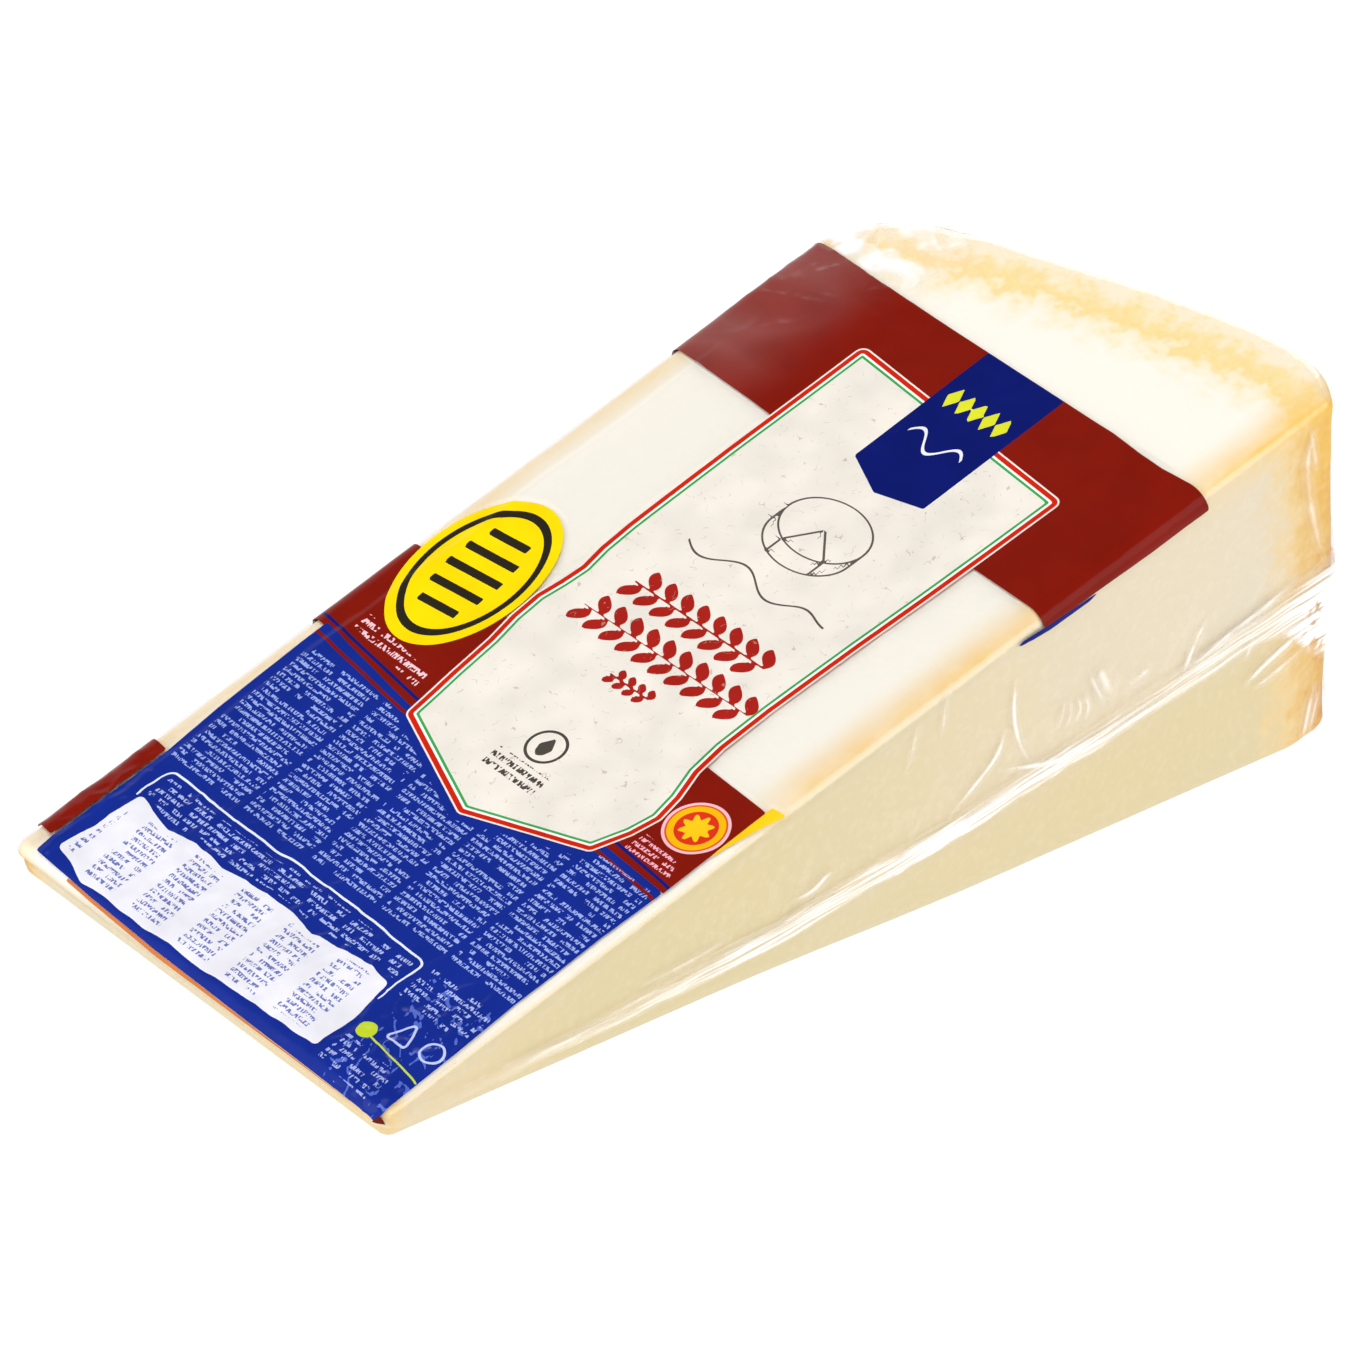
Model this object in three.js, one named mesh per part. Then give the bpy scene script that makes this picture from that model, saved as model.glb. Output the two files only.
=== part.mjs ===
// A chunk of hard grana cheese, vacuum packed in clear film with a printed top web.
//
// The chunk is a sector of half a cheese wheel. It lies on one radial cut, the other radial cut slopes
// up from the tip to the rind and carries the print, and the wheel's axis runs across the chunk.
//
// Frame: millimetres, +Z up. +X runs from the tip to the rind and +Y from the halving cut to the
// wheel's flat rind face. The shapes are worked out from the wheel's axis, and the group then moves
// them so that the origin is under the middle of the chunk's box.

import * as THREE from 'three';
import { mergeVertices } from 'three/addons/utils/BufferGeometryUtils.js';

// Driving dimensions, in millimetres and degrees.
const WHEEL_RADIUS = 225; // axis to rind, at the halving cut
const HALF_HEIGHT = 89.5; // halving cut to flat rind face, measured at the rind
const SECTOR_DEGREES = 17.8; // between the two radial cuts
const TIP_CUT = 21; // axis to the blunt tip, at its upper edge
const TIP_LEAN = 1.2; // how far the tip's foot stands back from its upper edge
const TIP_TAPER = 0.04; // share of the width that is gone at the axis, where the flat face dips
const EDGE_ROUND = 3.1; // radius of every edge under the tight film
const SIDE_SLANT = 21.4; // how far the wheel's bulging side falls back from the halving cut to the rim
const SLANT_CURVE = 1.35; // above 1 the side falls back more towards the rim
const RIM_WEAR = 6.6; // extra fall of the round rim at the flat rind face
const CUT_WEAR = 5.1; // and of the rind's worn edge at the halving cut
const WEAR_POWER = 15; // the higher, the closer to the edge the wear keeps
const ARC_FLATTEN = 1.6; // how far the film holds the rind's two long edges out of the wheel's round

const BASE_SWELL = 1.3; // how far the base's near edge settles outwards
const SWELL_FROM = [90, 145]; // where that starts and reaches its full size, from the axis
const SWELL_TO = [211, 220]; // and where it ends before the rind

const SEAM_TIP_HEIGHT = 2; // height of the film's belt seam at the tip
const SEAM_RIND_HEIGHT = 33.5; // and at the rind
const SEAM_CURVE = 1.6; // above 1 the seam sags towards the tip
const SEAM_HALF_WIDTH = 3.4;
const SEAM_RISE = 1.4; // how far the folded seam stands proud
const SEAM_RISE_AT_RIND = 0.1; // and where it crosses the rind
const SEAM_WAVE = 11; // length of one crumple along the seam
const GATHER_RISE = 0.9; // extra bunch of film on the halving cut beside the rind
const GATHER_REACH = 14;

const PRINT_END = 192; // axis to the print's far edge, along the slope
const PRINT_GAP = 0.3; // between the chunk and the printed web
const PRINT_THICKNESS = 0.4;
const PRINT_WRAP = 7; // how far the web runs down past the far long edge
const PRINT_WRAP_SHARE = 0.3; // but no further than this share of the chunk's height there

const LENGTH_STEPS = 44;
const HEIGHT_STEPS = 14;
const WIDTH_STEPS = 12;
const ROUND_LEANS = [1, Math.tan(Math.PI / 8)]; // tangents of 45 and 22.5 degrees

const SLOPE = THREE.MathUtils.degToRad(SECTOR_DEGREES);
const DOWN = new THREE.Vector3(0, 0, -1);
const UP_SLOPE = new THREE.Vector3(-Math.sin(SLOPE), 0, Math.cos(SLOPE));
const TOWARDS_TIP = new THREE.Vector3(-1, 0, 0);
const ACROSS = new THREE.Vector3(0, 1, 0);

// The core is the sharp wedge with every face moved in by the rounding. Its two cuts meet here.
const CORE_APEX = new THREE.Vector3(EDGE_ROUND / Math.tan(SLOPE / 2), 0, EDGE_ROUND);
const CORE_WIDTH = HALF_HEIGHT - 2 * EDGE_ROUND;

const clamp = THREE.MathUtils.clamp;
const lerp = THREE.MathUtils.lerp;
const smoothstep = THREE.MathUtils.smoothstep;
const bell = (offset, reach) => Math.exp(-((offset / reach) ** 2));

// Grid lines along one direction. Each says how far along the core it lies, from 0 to 1, and how
// far its normal leans past the core's end, as the tangent of the angle, for the rounded edges.
function gridLines(steps, spread = (share) => share) {
  const low = ROUND_LEANS.map((lean) => ({ along: 0, lean: -lean }));
  const high = ROUND_LEANS.map((lean) => ({ along: 1, lean })).reverse();
  const inner = Array.from({ length: steps + 1 }, (_, i) => ({ along: spread(i / steps), lean: 0 }));
  return [...low, ...inner, ...high];
}

// Distance from the wheel's axis to the rind: the slant of the bulging side, with worn edges.
function rindRadius(across, height) {
  const slant = SIDE_SLANT * across ** SLANT_CURVE;
  const wear = RIM_WEAR * across ** WEAR_POWER + CUT_WEAR * (1 - across) ** WEAR_POWER;
  return WHEEL_RADIUS - slant - wear + ARC_FLATTEN * (2 * height - 1) ** 6;
}

// Which way the rind faces there: outwards from the axis, and more to the side as it falls back.
function rindNormal(across, angle) {
  const slantTurn = SIDE_SLANT * SLANT_CURVE * across ** (SLANT_CURVE - 1);
  const rimTurn = RIM_WEAR * WEAR_POWER * across ** (WEAR_POWER - 1);
  const cutTurn = CUT_WEAR * WEAR_POWER * (1 - across) ** (WEAR_POWER - 1);
  const turn = (slantTurn + rimTurn - cutTurn) / CORE_WIDTH;
  return new THREE.Vector3(Math.cos(angle), turn, Math.sin(angle)).normalize();
}

function seamHeight(x) {
  const share = clamp((x - TIP_CUT) / (WHEEL_RADIUS - TIP_CUT), 0, 1);
  return lerp(SEAM_TIP_HEIGHT, SEAM_RIND_HEIGHT, share ** SEAM_CURVE);
}

// The core's height lines crowd round the seam: the middle third of them lies within its width.
function seamCrowded(height, x) {
  const local = Math.max((x - CORE_APEX.x) * Math.tan(SLOPE), 1);
  const half = Math.min(SEAM_HALF_WIDTH / local, 0.12);
  const middle = clamp((seamHeight(x) - EDGE_ROUND) / local, half + 0.1, 1);
  const stops = [0, middle - half, middle + half, 1];
  const band = Math.min(Math.floor(height * 3), 2);
  return lerp(stops[band], stops[band + 1], height * 3 - band);
}

// A point of the core from shares along its length, height and width.
function corePoint(length, height, across) {
  const reach = rindRadius(across, height) - EDGE_ROUND;
  const roughX = lerp(TIP_CUT, WHEEL_RADIUS, length);
  const angle = SLOPE * seamCrowded(height, roughX);
  const forward = CORE_APEX.x * Math.cos(angle) + CORE_APEX.z * Math.sin(angle);
  const toRind = Math.sqrt(forward ** 2 - CORE_APEX.lengthSq() + reach ** 2) - forward;
  const tip = TIP_CUT + TIP_LEAN * (1 - angle / SLOPE);
  const toTip = (tip + EDGE_ROUND - CORE_APEX.x) / Math.cos(angle);
  const ray = lerp(toTip, toRind, length);
  return {
    point: new THREE.Vector3(
      CORE_APEX.x + ray * Math.cos(angle),
      EDGE_ROUND + across * CORE_WIDTH,
      CORE_APEX.z + ray * Math.sin(angle),
    ),
    rind: rindNormal(across, angle),
  };
}

// How far the film's belt seam and its gather stand proud of the chunk at a point of its skin.
function seamRelief(point, normal) {
  const sideways = clamp(1 - Math.abs(normal.dot(DOWN)), 0, 1) ** 2;
  const belowTop = point.x * Math.tan(SLOPE) - point.z - 1.2 * printWrap(point.x);
  const clearOfTop = clamp(belowTop / SEAM_HALF_WIDTH, 0, 1);
  const offset = point.z - seamHeight(point.x);
  const crumple = 1 + 0.35 * Math.sin((2 * Math.PI * (point.x + 0.6 * point.y)) / SEAM_WAVE);
  const onRind = clamp(normal.x, 0, 1);
  const ridge = lerp(SEAM_RISE, SEAM_RISE_AT_RIND, onRind) * crumple * bell(offset, SEAM_HALF_WIDTH);
  const fromRind = WHEEL_RADIUS - Math.hypot(point.x, point.z);
  const gather = GATHER_RISE * bell(fromRind, GATHER_REACH) * bell(offset, 2 * SEAM_HALF_WIDTH);
  return sideways * clearOfTop * (ridge + (1 - onRind) * gather);
}

// How far the foot of the near face has settled outwards at a point of the skin.
function baseSwell(point) {
  const along = smoothstep(point.x, ...SWELL_FROM) * (1 - smoothstep(point.x, ...SWELL_TO));
  return BASE_SWELL * along * bell(point.z, 12) * (1 - smoothstep(point.y, 1, 14));
}

// How far the printed web runs down the flat rind face.
function printWrap(x) {
  return Math.min(PRINT_WRAP, PRINT_WRAP_SHARE * x * Math.tan(SLOPE));
}

// A point of the skin: the core, moved out along the normal that the three leans add up to.
function skinPoint(length, height, across, proud = 0) {
  const { point, rind } = corePoint(length.along, height.along, across.along);
  const normal = new THREE.Vector3()
    .addScaledVector(length.lean < 0 ? TOWARDS_TIP : rind, Math.abs(length.lean))
    .addScaledVector(height.lean < 0 ? DOWN : UP_SLOPE, Math.abs(height.lean))
    .addScaledVector(ACROSS, across.lean)
    .normalize();
  if (height.drop) point.addScaledVector(UP_SLOPE, -height.drop * printWrap(point.x));
  point.addScaledVector(normal, EDGE_ROUND);
  point.addScaledVector(normal, seamRelief(point, normal) + proud);
  point.y = point.y * (1 - TIP_TAPER * (1 - point.x / WHEEL_RADIUS)) - baseSwell(point);
  return point;
}

// Two triangles for each cell of a grid of points, facing the way that rows cross columns.
function stitch(rows, triangles, flip) {
  for (let i = 0; i + 1 < rows.length; i++) {
    for (let j = 0; j + 1 < rows[i].length; j++) {
      const corners = [rows[i][j], rows[i + 1][j], rows[i + 1][j + 1], rows[i][j + 1]];
      if (flip) corners.reverse();
      triangles.push(corners[0], corners[1], corners[2], corners[0], corners[2], corners[3]);
    }
  }
}

function closedGeometry(triangles) {
  const loose = new THREE.BufferGeometry().setFromPoints(triangles);
  const closed = mergeVertices(loose, 1e-4);
  closed.computeVertexNormals();
  return closed;
}

// The six faces of the chunk, each a grid over two directions with the third at its low or high end.
function packGeometry() {
  const rimSpread = (share) => (1 - Math.cos(share * Math.PI)) / 2; // closer lines at both worn edges
  const lengths = gridLines(LENGTH_STEPS);
  const heights = gridLines(HEIGHT_STEPS);
  const widths = gridLines(WIDTH_STEPS, rimSpread);
  const triangles = [];
  for (const end of [{ along: 0, lean: -1 }, { along: 1, lean: 1 }]) {
    const low = end.along === 0;
    stitch(lengths.map((l) => heights.map((h) => skinPoint(l, h, end))), triangles, !low);
    stitch(widths.map((w) => lengths.map((l) => skinPoint(l, end, w))), triangles, !low);
    stitch(heights.map((h) => widths.map((w) => skinPoint(end, h, w))), triangles, !low);
  }
  return closedGeometry(triangles);
}

// The printed web: it starts on the near long edge's rounding, crosses the slope and wraps over the
// far long edge. It is as long as the print, and its two skins are joined along the four edges.
function printGeometry() {
  const top = { along: 1, lean: 1 };
  const far = { along: 1, lean: 1 };
  const section = [
    ...gridLines(WIDTH_STEPS).map((across) => ({ height: top, across })),
    { height: { along: 1, lean: ROUND_LEANS[1] }, across: far },
    ...[0, 0.5, 1].map((drop) => ({ height: { along: 1, lean: 0, drop }, across: far })),
  ];
  const printShare = (across) => {
    const start = TIP_CUT + EDGE_ROUND - CORE_APEX.x;
    const reach = Math.sqrt((rindRadius(across, 1) - EDGE_ROUND) ** 2 - EDGE_ROUND ** 2) - CORE_APEX.x;
    return (PRINT_END - CORE_APEX.x - start) / (reach - start);
  };
  const layer = (proud) => section.map(({ height, across }) => {
    const lengths = gridLines(LENGTH_STEPS).slice(0, -ROUND_LEANS.length);
    return lengths.map((line) => {
      const length = { along: line.along * printShare(across.along), lean: line.lean };
      return skinPoint(length, height, across, proud);
    });
  });
  const inner = layer(PRINT_GAP);
  const outer = layer(PRINT_GAP + PRINT_THICKNESS);
  const firstOf = (rows) => rows.map((row) => row[0]);
  const lastOf = (rows) => rows.map((row) => row.at(-1));
  const triangles = [];
  stitch(outer, triangles, true);
  stitch(inner, triangles, false);
  stitch([inner[0], outer[0]], triangles, true);
  stitch([inner.at(-1), outer.at(-1)], triangles, false);
  stitch([firstOf(inner), firstOf(outer)], triangles, false);
  stitch([lastOf(inner), lastOf(outer)], triangles, true);
  return closedGeometry(triangles);
}

// Clear film over pale straw-coloured cheese.
const packMaterial = new THREE.MeshStandardMaterial({ color: 0xf3e6bf, roughness: 0.25, metalness: 0 });
// Glossy film printed in a deep brick red, the larger of its colours.
const printMaterial = new THREE.MeshStandardMaterial({ color: 0x8a1c12, roughness: 0.2, metalness: 0 });

const pack = new THREE.Mesh(packGeometry(), packMaterial);
pack.name = 'vacuum_pack';

const print = new THREE.Mesh(printGeometry(), printMaterial);
print.name = 'printed_film';

const group = new THREE.Group();
group.add(pack, print);
const box = new THREE.Box3().setFromObject(group, true);
const middle = box.getCenter(new THREE.Vector3());
group.position.set(-middle.x, -middle.y, -box.min.z);

export default group;
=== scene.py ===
"""A chunk of hard grana cheese, vacuum packed in clear film under a printed top web.

Every shape is worked out in millimetres from the cheese wheel's axis, where the two radial cuts and
the halving cut would meet, and goes into the row frame in metres when its mesh is made. +X runs from
the tip to the rind, +Y from the halving cut to the wheel's flat rind face, and +Z is up.
"""

import enum
import logging
import math
from dataclasses import dataclass, field
from itertools import product

import bpy
import numpy as np
from mathutils import Matrix

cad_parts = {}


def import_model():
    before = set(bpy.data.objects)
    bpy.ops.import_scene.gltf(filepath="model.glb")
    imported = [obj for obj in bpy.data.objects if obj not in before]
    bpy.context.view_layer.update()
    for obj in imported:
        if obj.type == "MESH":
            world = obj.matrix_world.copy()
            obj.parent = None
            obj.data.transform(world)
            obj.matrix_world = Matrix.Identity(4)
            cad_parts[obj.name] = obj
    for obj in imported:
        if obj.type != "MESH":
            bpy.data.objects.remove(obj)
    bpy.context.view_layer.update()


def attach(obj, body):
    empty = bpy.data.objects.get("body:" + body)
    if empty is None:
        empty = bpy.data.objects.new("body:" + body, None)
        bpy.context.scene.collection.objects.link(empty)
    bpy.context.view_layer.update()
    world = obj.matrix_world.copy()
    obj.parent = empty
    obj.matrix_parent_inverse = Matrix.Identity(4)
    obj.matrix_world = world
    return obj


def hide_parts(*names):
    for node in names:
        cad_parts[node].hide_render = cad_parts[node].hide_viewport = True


LOG = logging.getLogger("cheese_chunk")
MM = 0.001
AXIS_IN_ROW = (-122.7475, -44.3166, 0.0)
Points = np.ndarray
Values = np.ndarray


class Slot(enum.Enum):
    """The record's material slots."""

    CHEESE = "cheese"
    CLEAR_FILM = "clear_film"
    PRINTED_FILM = "printed_film"


class Face(enum.Enum):
    """The chunk's six faces."""

    TIP = "tip"
    RIND = "rind"
    NEAR = "near"
    FAR = "far"
    BASE = "base"
    SLOPE = "slope"


# ---------------------------------------------------------------- numbers


def bell(offset: Values, reach: float) -> Values:
    """A bell of height 1: e to the power of minus (offset / reach) squared."""
    return np.exp(-((offset / reach) ** 2))


def ease(values: Values, low: float, high: float) -> Values:
    """0 below low, 1 above high and 3t^2 - 2t^3 between them; low may be the larger."""
    t = np.clip((values - low) / (high - low), 0.0, 1.0)
    return t * t * (3.0 - 2.0 * t)


def both_ends(count: int) -> Values:
    """Numbers from 0 to 1, closer at both ends: (1 - cos(pi t)) / 2."""
    return (1.0 - np.cos(np.linspace(0.0, math.pi, count))) / 2.0


def lattice_hash(cells: Points, seed: int) -> Points:
    """Three even random numbers from -1 to 1 for each whole-number cell.

    Args:
        cells: whole numbers, (..., 3).
        seed: a number that picks one of many fields.

    Returns:
        Numbers of the same shape, from an integer hash of the three cell numbers.
    """
    x, y, z = (cells[..., i].astype(np.uint64) for i in range(3))
    mixed = x * np.uint64(73856093) ^ y * np.uint64(19349663) ^ z * np.uint64(83492791)
    mixed = mixed + np.uint64(seed * 2654435761 % (1 << 32))
    outs = []
    for _ in range(3):
        mixed = mixed ^ (mixed >> np.uint64(33))
        mixed = mixed * np.uint64(0xFF51AFD7ED558CCD)
        mixed = mixed ^ (mixed >> np.uint64(29))
        outs.append((mixed >> np.uint64(40)).astype(float) / float(1 << 23) - 1.0)
    return np.stack(outs, axis=-1)


def noise(points: Points, seed: int) -> Values:
    """Gradient noise with cells of size 1, about -1 to 1.

    Each corner of a cell gives the dot product of its random slope with the way from it, and the
    eight are blended with the curve 6t^5 - 15t^4 + 10t^3.

    Args:
        points: places, (..., 3).
        seed: picks the field.

    Returns:
        One value for each point.
    """
    cells = np.floor(points).astype(np.int64)
    inner = points - cells
    blend = inner**3 * (inner * (inner * 6.0 - 15.0) + 10.0)
    total = np.zeros(points.shape[:-1])
    for corner in product((0, 1), repeat=3):
        step = np.array(corner)
        slopes = lattice_hash(cells + step + (1 << 20), seed)
        weight = np.prod(np.where(step == 1, blend, 1.0 - blend), axis=-1)
        total += weight * np.sum(slopes * (inner - step), axis=-1)
    return total * 1.6


def rough_noise(points: Points, seed: int, octaves: int = 3) -> Values:
    """Noise summed over octaves, each half as high and twice as fine as the one before."""
    layers = [noise(points * 2.0**n, seed + n) * 0.5**n for n in range(octaves)]
    return np.sum(layers, axis=0) / (2.0 - 0.5 ** (octaves - 1))


def folds(points: Points, seed: int, octaves: int = 2) -> Values:
    """Sharp-crested folds from 0 to 1: (1 - |noise|) squared, summed over octaves."""
    layers = [
        np.clip(1.0 - 1.6 * np.abs(noise(points * 2.0**n, seed + n)), 0.0, 1.0) ** 2 * 0.5**n
        for n in range(octaves)
    ]
    return np.sum(layers, axis=0) / (2.0 - 0.5 ** (octaves - 1))


def flat_points(first: Values, second: Values, third: float = 0.0) -> Points:
    """Points from two arrays of one shape, with one number as the third part."""
    return np.stack([first, second, np.full_like(first, third)], axis=-1)


def signed_distance(places: Points, outline: list[tuple[float, float]]) -> Values:
    """Distance to a closed outline, below zero inside.

    The nearest point of each side gives the distance, and the sign changes at each side that a line
    from the place crosses.

    Args:
        places: (..., 2).
        outline: the corners in order.

    Returns:
        One distance for each place.
    """
    corners = np.array(outline, float)
    nearest = np.full(places.shape[:-1], np.inf)
    inside = np.ones(places.shape[:-1])
    for a, b in zip(corners, np.roll(corners, 1, axis=0)):
        side, way = b - a, places - a
        along = np.clip((way @ side) / (side @ side), 0.0, 1.0)
        gap = way - along[..., None] * side
        nearest = np.minimum(nearest, np.sum(gap**2, axis=-1))
        above = places[..., 1] >= a[1]
        below = places[..., 1] < b[1]
        left = side[0] * way[..., 1] > side[1] * way[..., 0]
        crosses = (above & below & left) | (~above & ~below & ~left)
        inside = np.where(crosses, -inside, inside)
    return inside * np.sqrt(nearest)


def thin_line(distance: Values, on_it: Values) -> Values:
    """Signed distance to a thin line where on_it holds; elsewhere, and past 1.2 mm, 999 with its
    sign, so that no false line shows where two signs meet."""
    kept = on_it & (np.abs(distance) < 1.2)
    return np.where(kept, distance, np.copysign(999.0, distance))


def signed_line(places: Points, a: tuple[float, float], b: tuple[float, float]) -> Values:
    """Signed distance to the thin line from a to b."""
    start, side = np.array(a), np.array(b) - np.array(a)
    length = np.linalg.norm(side)
    way = places - start
    along = (way @ side) / length
    off = (side[0] * way[..., 1] - side[1] * way[..., 0]) / length
    return thin_line(off, (along >= 0.0) & (along <= length))


def closest(*distances: Values) -> Values:
    """For each place, the signed distance that is nearest to zero."""
    stacked = np.stack(distances)
    pick = np.argmin(np.abs(stacked), axis=0)
    return np.take_along_axis(stacked, pick[None], axis=0)[0]


def inset(outline: list[tuple[float, float]], depth: float) -> list[tuple[float, float]]:
    """The outline with every side moved in by depth, corners along their bisectors."""
    corners = np.array(outline, float)
    following = np.roll(corners, -1, axis=0)
    area = np.sum(corners[:, 0] * following[:, 1] - following[:, 0] * corners[:, 1])
    sides = following - corners
    sides /= np.linalg.norm(sides, axis=1)[:, None]
    normals = np.stack([-sides[:, 1], sides[:, 0]], axis=1) * np.sign(area)
    before = np.roll(normals, 1, axis=0)
    bisector = normals + before
    bisector /= np.sum(bisector * normals, axis=1)[:, None]
    return [tuple(p) for p in corners + bisector * depth]


def rounded(places: Points, outline: list[tuple[float, float]], radius: float) -> Values:
    """Signed distance to the outline with its corners rounded: inset by the radius, then grown."""
    return signed_distance(places, inset(outline, radius)) - radius


# ---------------------------------------------------------------- the chunk's form


@dataclass(frozen=True)
class Lines:
    """Grid lines along one direction of the chunk.

    Attributes:
        along: share of the core's length in that direction, from 0 to 1.
        lean: how far the normal leans past the core's end, as the tangent of the angle.
    """

    along: Values
    lean: Values

    @classmethod
    def spread(cls, inner: Values, round_steps: int) -> "Lines":
        """Inner lines at the given shares, with round_steps lines on the rounding at each end."""
        angles = np.linspace(math.pi / 4, 0.0, round_steps + 1)[:-1]
        tangents = np.tan(angles)
        ends = np.ones(round_steps)
        return cls(
            np.concatenate([0.0 * ends, inner, ends]),
            np.concatenate([-tangents, 0.0 * inner, tangents[::-1]]),
        )

    def take(self, index: Values) -> tuple[Values, Values]:
        """The shares and leans of the lines with these numbers."""
        return self.along[index], self.lean[index]

    @property
    def count(self) -> int:
        """How many lines there are."""
        return len(self.along)


@dataclass(frozen=True)
class Wedge:
    """The chunk: a sector of half a cheese wheel, in millimetres from the wheel's axis."""

    wheel_radius: float = 225.0
    half_height: float = 89.5
    sector_degrees: float = 17.8
    tip_cut: float = 21.0
    tip_lean: float = 1.2
    tip_taper: float = 0.04
    edge_round: float = 3.1
    side_slant: float = 21.4
    slant_curve: float = 1.35
    rim_wear: float = 6.6
    cut_wear: float = 5.1
    wear_power: float = 15.0
    arc_flatten: float = 1.6
    base_swell: float = 1.3
    seam_tip_height: float = 2.0
    seam_rind_height: float = 33.5
    seam_curve: float = 1.6
    seam_half_width: float = 3.4
    print_end: float = 192.0
    print_wrap: float = 7.0
    print_wrap_share: float = 0.3

    @property
    def slope(self) -> float:
        """The sector's angle in radians."""
        return math.radians(self.sector_degrees)

    @property
    def apex(self) -> Values:
        """Where the core's two cuts meet."""
        return np.array([self.edge_round / math.tan(self.slope / 2), 0.0, self.edge_round])

    @property
    def core_width(self) -> float:
        """The width without the roundings."""
        return self.half_height - 2.0 * self.edge_round

    @property
    def up_slope(self) -> Values:
        """Which way the sloping cut faces."""
        return np.array([-math.sin(self.slope), 0.0, math.cos(self.slope)])

    def rind_radius(self, across: Values, height: Values) -> Values:
        """Axis to rind: radius - slant * across^1.35 - rim wear * across^15 - cut wear *
        (1 - across)^15 + flattening * (2 * height - 1)^6."""
        slant = self.side_slant * across**self.slant_curve
        wear = self.rim_wear * across**self.wear_power
        wear = wear + self.cut_wear * (1.0 - across) ** self.wear_power
        return self.wheel_radius - slant - wear + self.arc_flatten * (2.0 * height - 1.0) ** 6

    def rind_normal(self, across: Values, angle: Values) -> Points:
        """Outwards from the axis, turned to the side by the slope of rind_radius over the width."""
        turn = self.side_slant * self.slant_curve * across ** (self.slant_curve - 1.0)
        turn = turn + self.rim_wear * self.wear_power * across ** (self.wear_power - 1.0)
        turn = turn - self.cut_wear * self.wear_power * (1.0 - across) ** (self.wear_power - 1.0)
        way = np.stack([np.cos(angle), turn / self.core_width, np.sin(angle)], axis=-1)
        return way / np.linalg.norm(way, axis=-1, keepdims=True)

    def seam_height(self, x: Values) -> Values:
        """Height of the film's belt seam: from 2 mm at the tip by a power of 1.6 to 33.5 mm."""
        share = np.clip((x - self.tip_cut) / (self.wheel_radius - self.tip_cut), 0.0, 1.0)
        rise = self.seam_rind_height - self.seam_tip_height
        return self.seam_tip_height + rise * share**self.seam_curve

    def crowded(self, height: Values, x: Values) -> Values:
        """Height shares drawn together round the seam, so that 0.5 lies on the seam's middle."""
        _, middle, half = self.room(x)
        stops = np.stack([0.0 * half, middle - half, middle + half, 0.0 * half + 1.0])
        band = np.minimum(np.floor(height * 3.0), 2.0).astype(int)
        low = np.take_along_axis(stops, band[None], axis=0)[0]
        high = np.take_along_axis(stops, band[None] + 1, axis=0)[0]
        return low + (high - low) * (height * 3.0 - band)

    def room(self, x: Values) -> tuple[Values, Values, Values]:
        """The core's height at x, and the shares of the seam's middle and half width in it."""
        local = np.maximum((x - self.apex[0]) * math.tan(self.slope), 1.0)
        half = np.minimum(self.seam_half_width / local, 0.12)
        middle = np.clip((self.seam_height(x) - self.edge_round) / local, half + 0.1, 1.0)
        return local, middle, half

    def share_of(self, x: Values, offset: Values) -> Values:
        """Height share of the skin at a distance above the seam's middle: crowded, turned round."""
        local, middle, half = self.room(x)
        part = offset / local
        inner = 0.5 + part / half / 6.0
        upper = 2.0 / 3.0 + (part - half) / np.maximum(1.0 - middle - half, 1e-3) / 3.0
        lower = 1.0 / 3.0 + (part + half) / np.maximum(middle - half, 1e-3) / 3.0
        share = np.where(part > half, upper, np.where(part < -half, lower, inner))
        return np.clip(share, 0.0, 1.0)

    def wrap(self, x: Values) -> Values:
        """How far the printed web runs down the far face."""
        return np.minimum(self.print_wrap, self.print_wrap_share * x * math.tan(self.slope))

    def skin(
        self,
        length: tuple[Values, Values],
        height: tuple[Values, Values],
        across: tuple[Values, Values],
        drop: Values | float = 0.0,
    ) -> tuple[Points, Points]:
        """Points of the bare skin and their normals.

        A core point lies on a ray from the core's apex at the height share's angle, between the
        tip's plane and the rind's surface. It moves out by the rounding along the sum of the face
        directions, each times its lean, and the width narrows a little towards the tip.

        Args:
            length: shares and leans from tip to rind.
            height: shares and leans from base to slope.
            across: shares and leans from the halving cut to the flat face.
            drop: share of the print's wrap to run down from the slope.

        Returns:
            Points and unit normals, (..., 3).
        """
        (l, ll), (h, hl), (a, al) = (
            np.broadcast_arrays(*pair) for pair in (length, height, across)
        )
        l, ll, h, hl, a, al, drop = np.broadcast_arrays(l, ll, h, hl, a, al, drop)
        reach = self.rind_radius(a, h) - self.edge_round
        rough_x = self.tip_cut + (self.wheel_radius - self.tip_cut) * l
        angle = self.slope * self.crowded(h, rough_x)
        ax, az = self.apex[0], self.apex[2]
        forward = ax * np.cos(angle) + az * np.sin(angle)
        to_rind = np.sqrt(forward**2 - (ax**2 + az**2) + reach**2) - forward
        tip = self.tip_cut + self.tip_lean * (1.0 - angle / self.slope)
        to_tip = (tip + self.edge_round - ax) / np.cos(angle)
        ray = to_tip + (to_rind - to_tip) * l
        points = np.stack(
            [
                ax + ray * np.cos(angle),
                self.edge_round + a * self.core_width,
                az + ray * np.sin(angle),
            ],
            axis=-1,
        )
        tipward = np.array([-1.0, 0.0, 0.0])
        down = np.array([0.0, 0.0, -1.0])
        lengthwise = np.where((ll < 0)[..., None], tipward, self.rind_normal(a, angle))
        heightwise = np.where((hl < 0)[..., None], down, self.up_slope)
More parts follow.
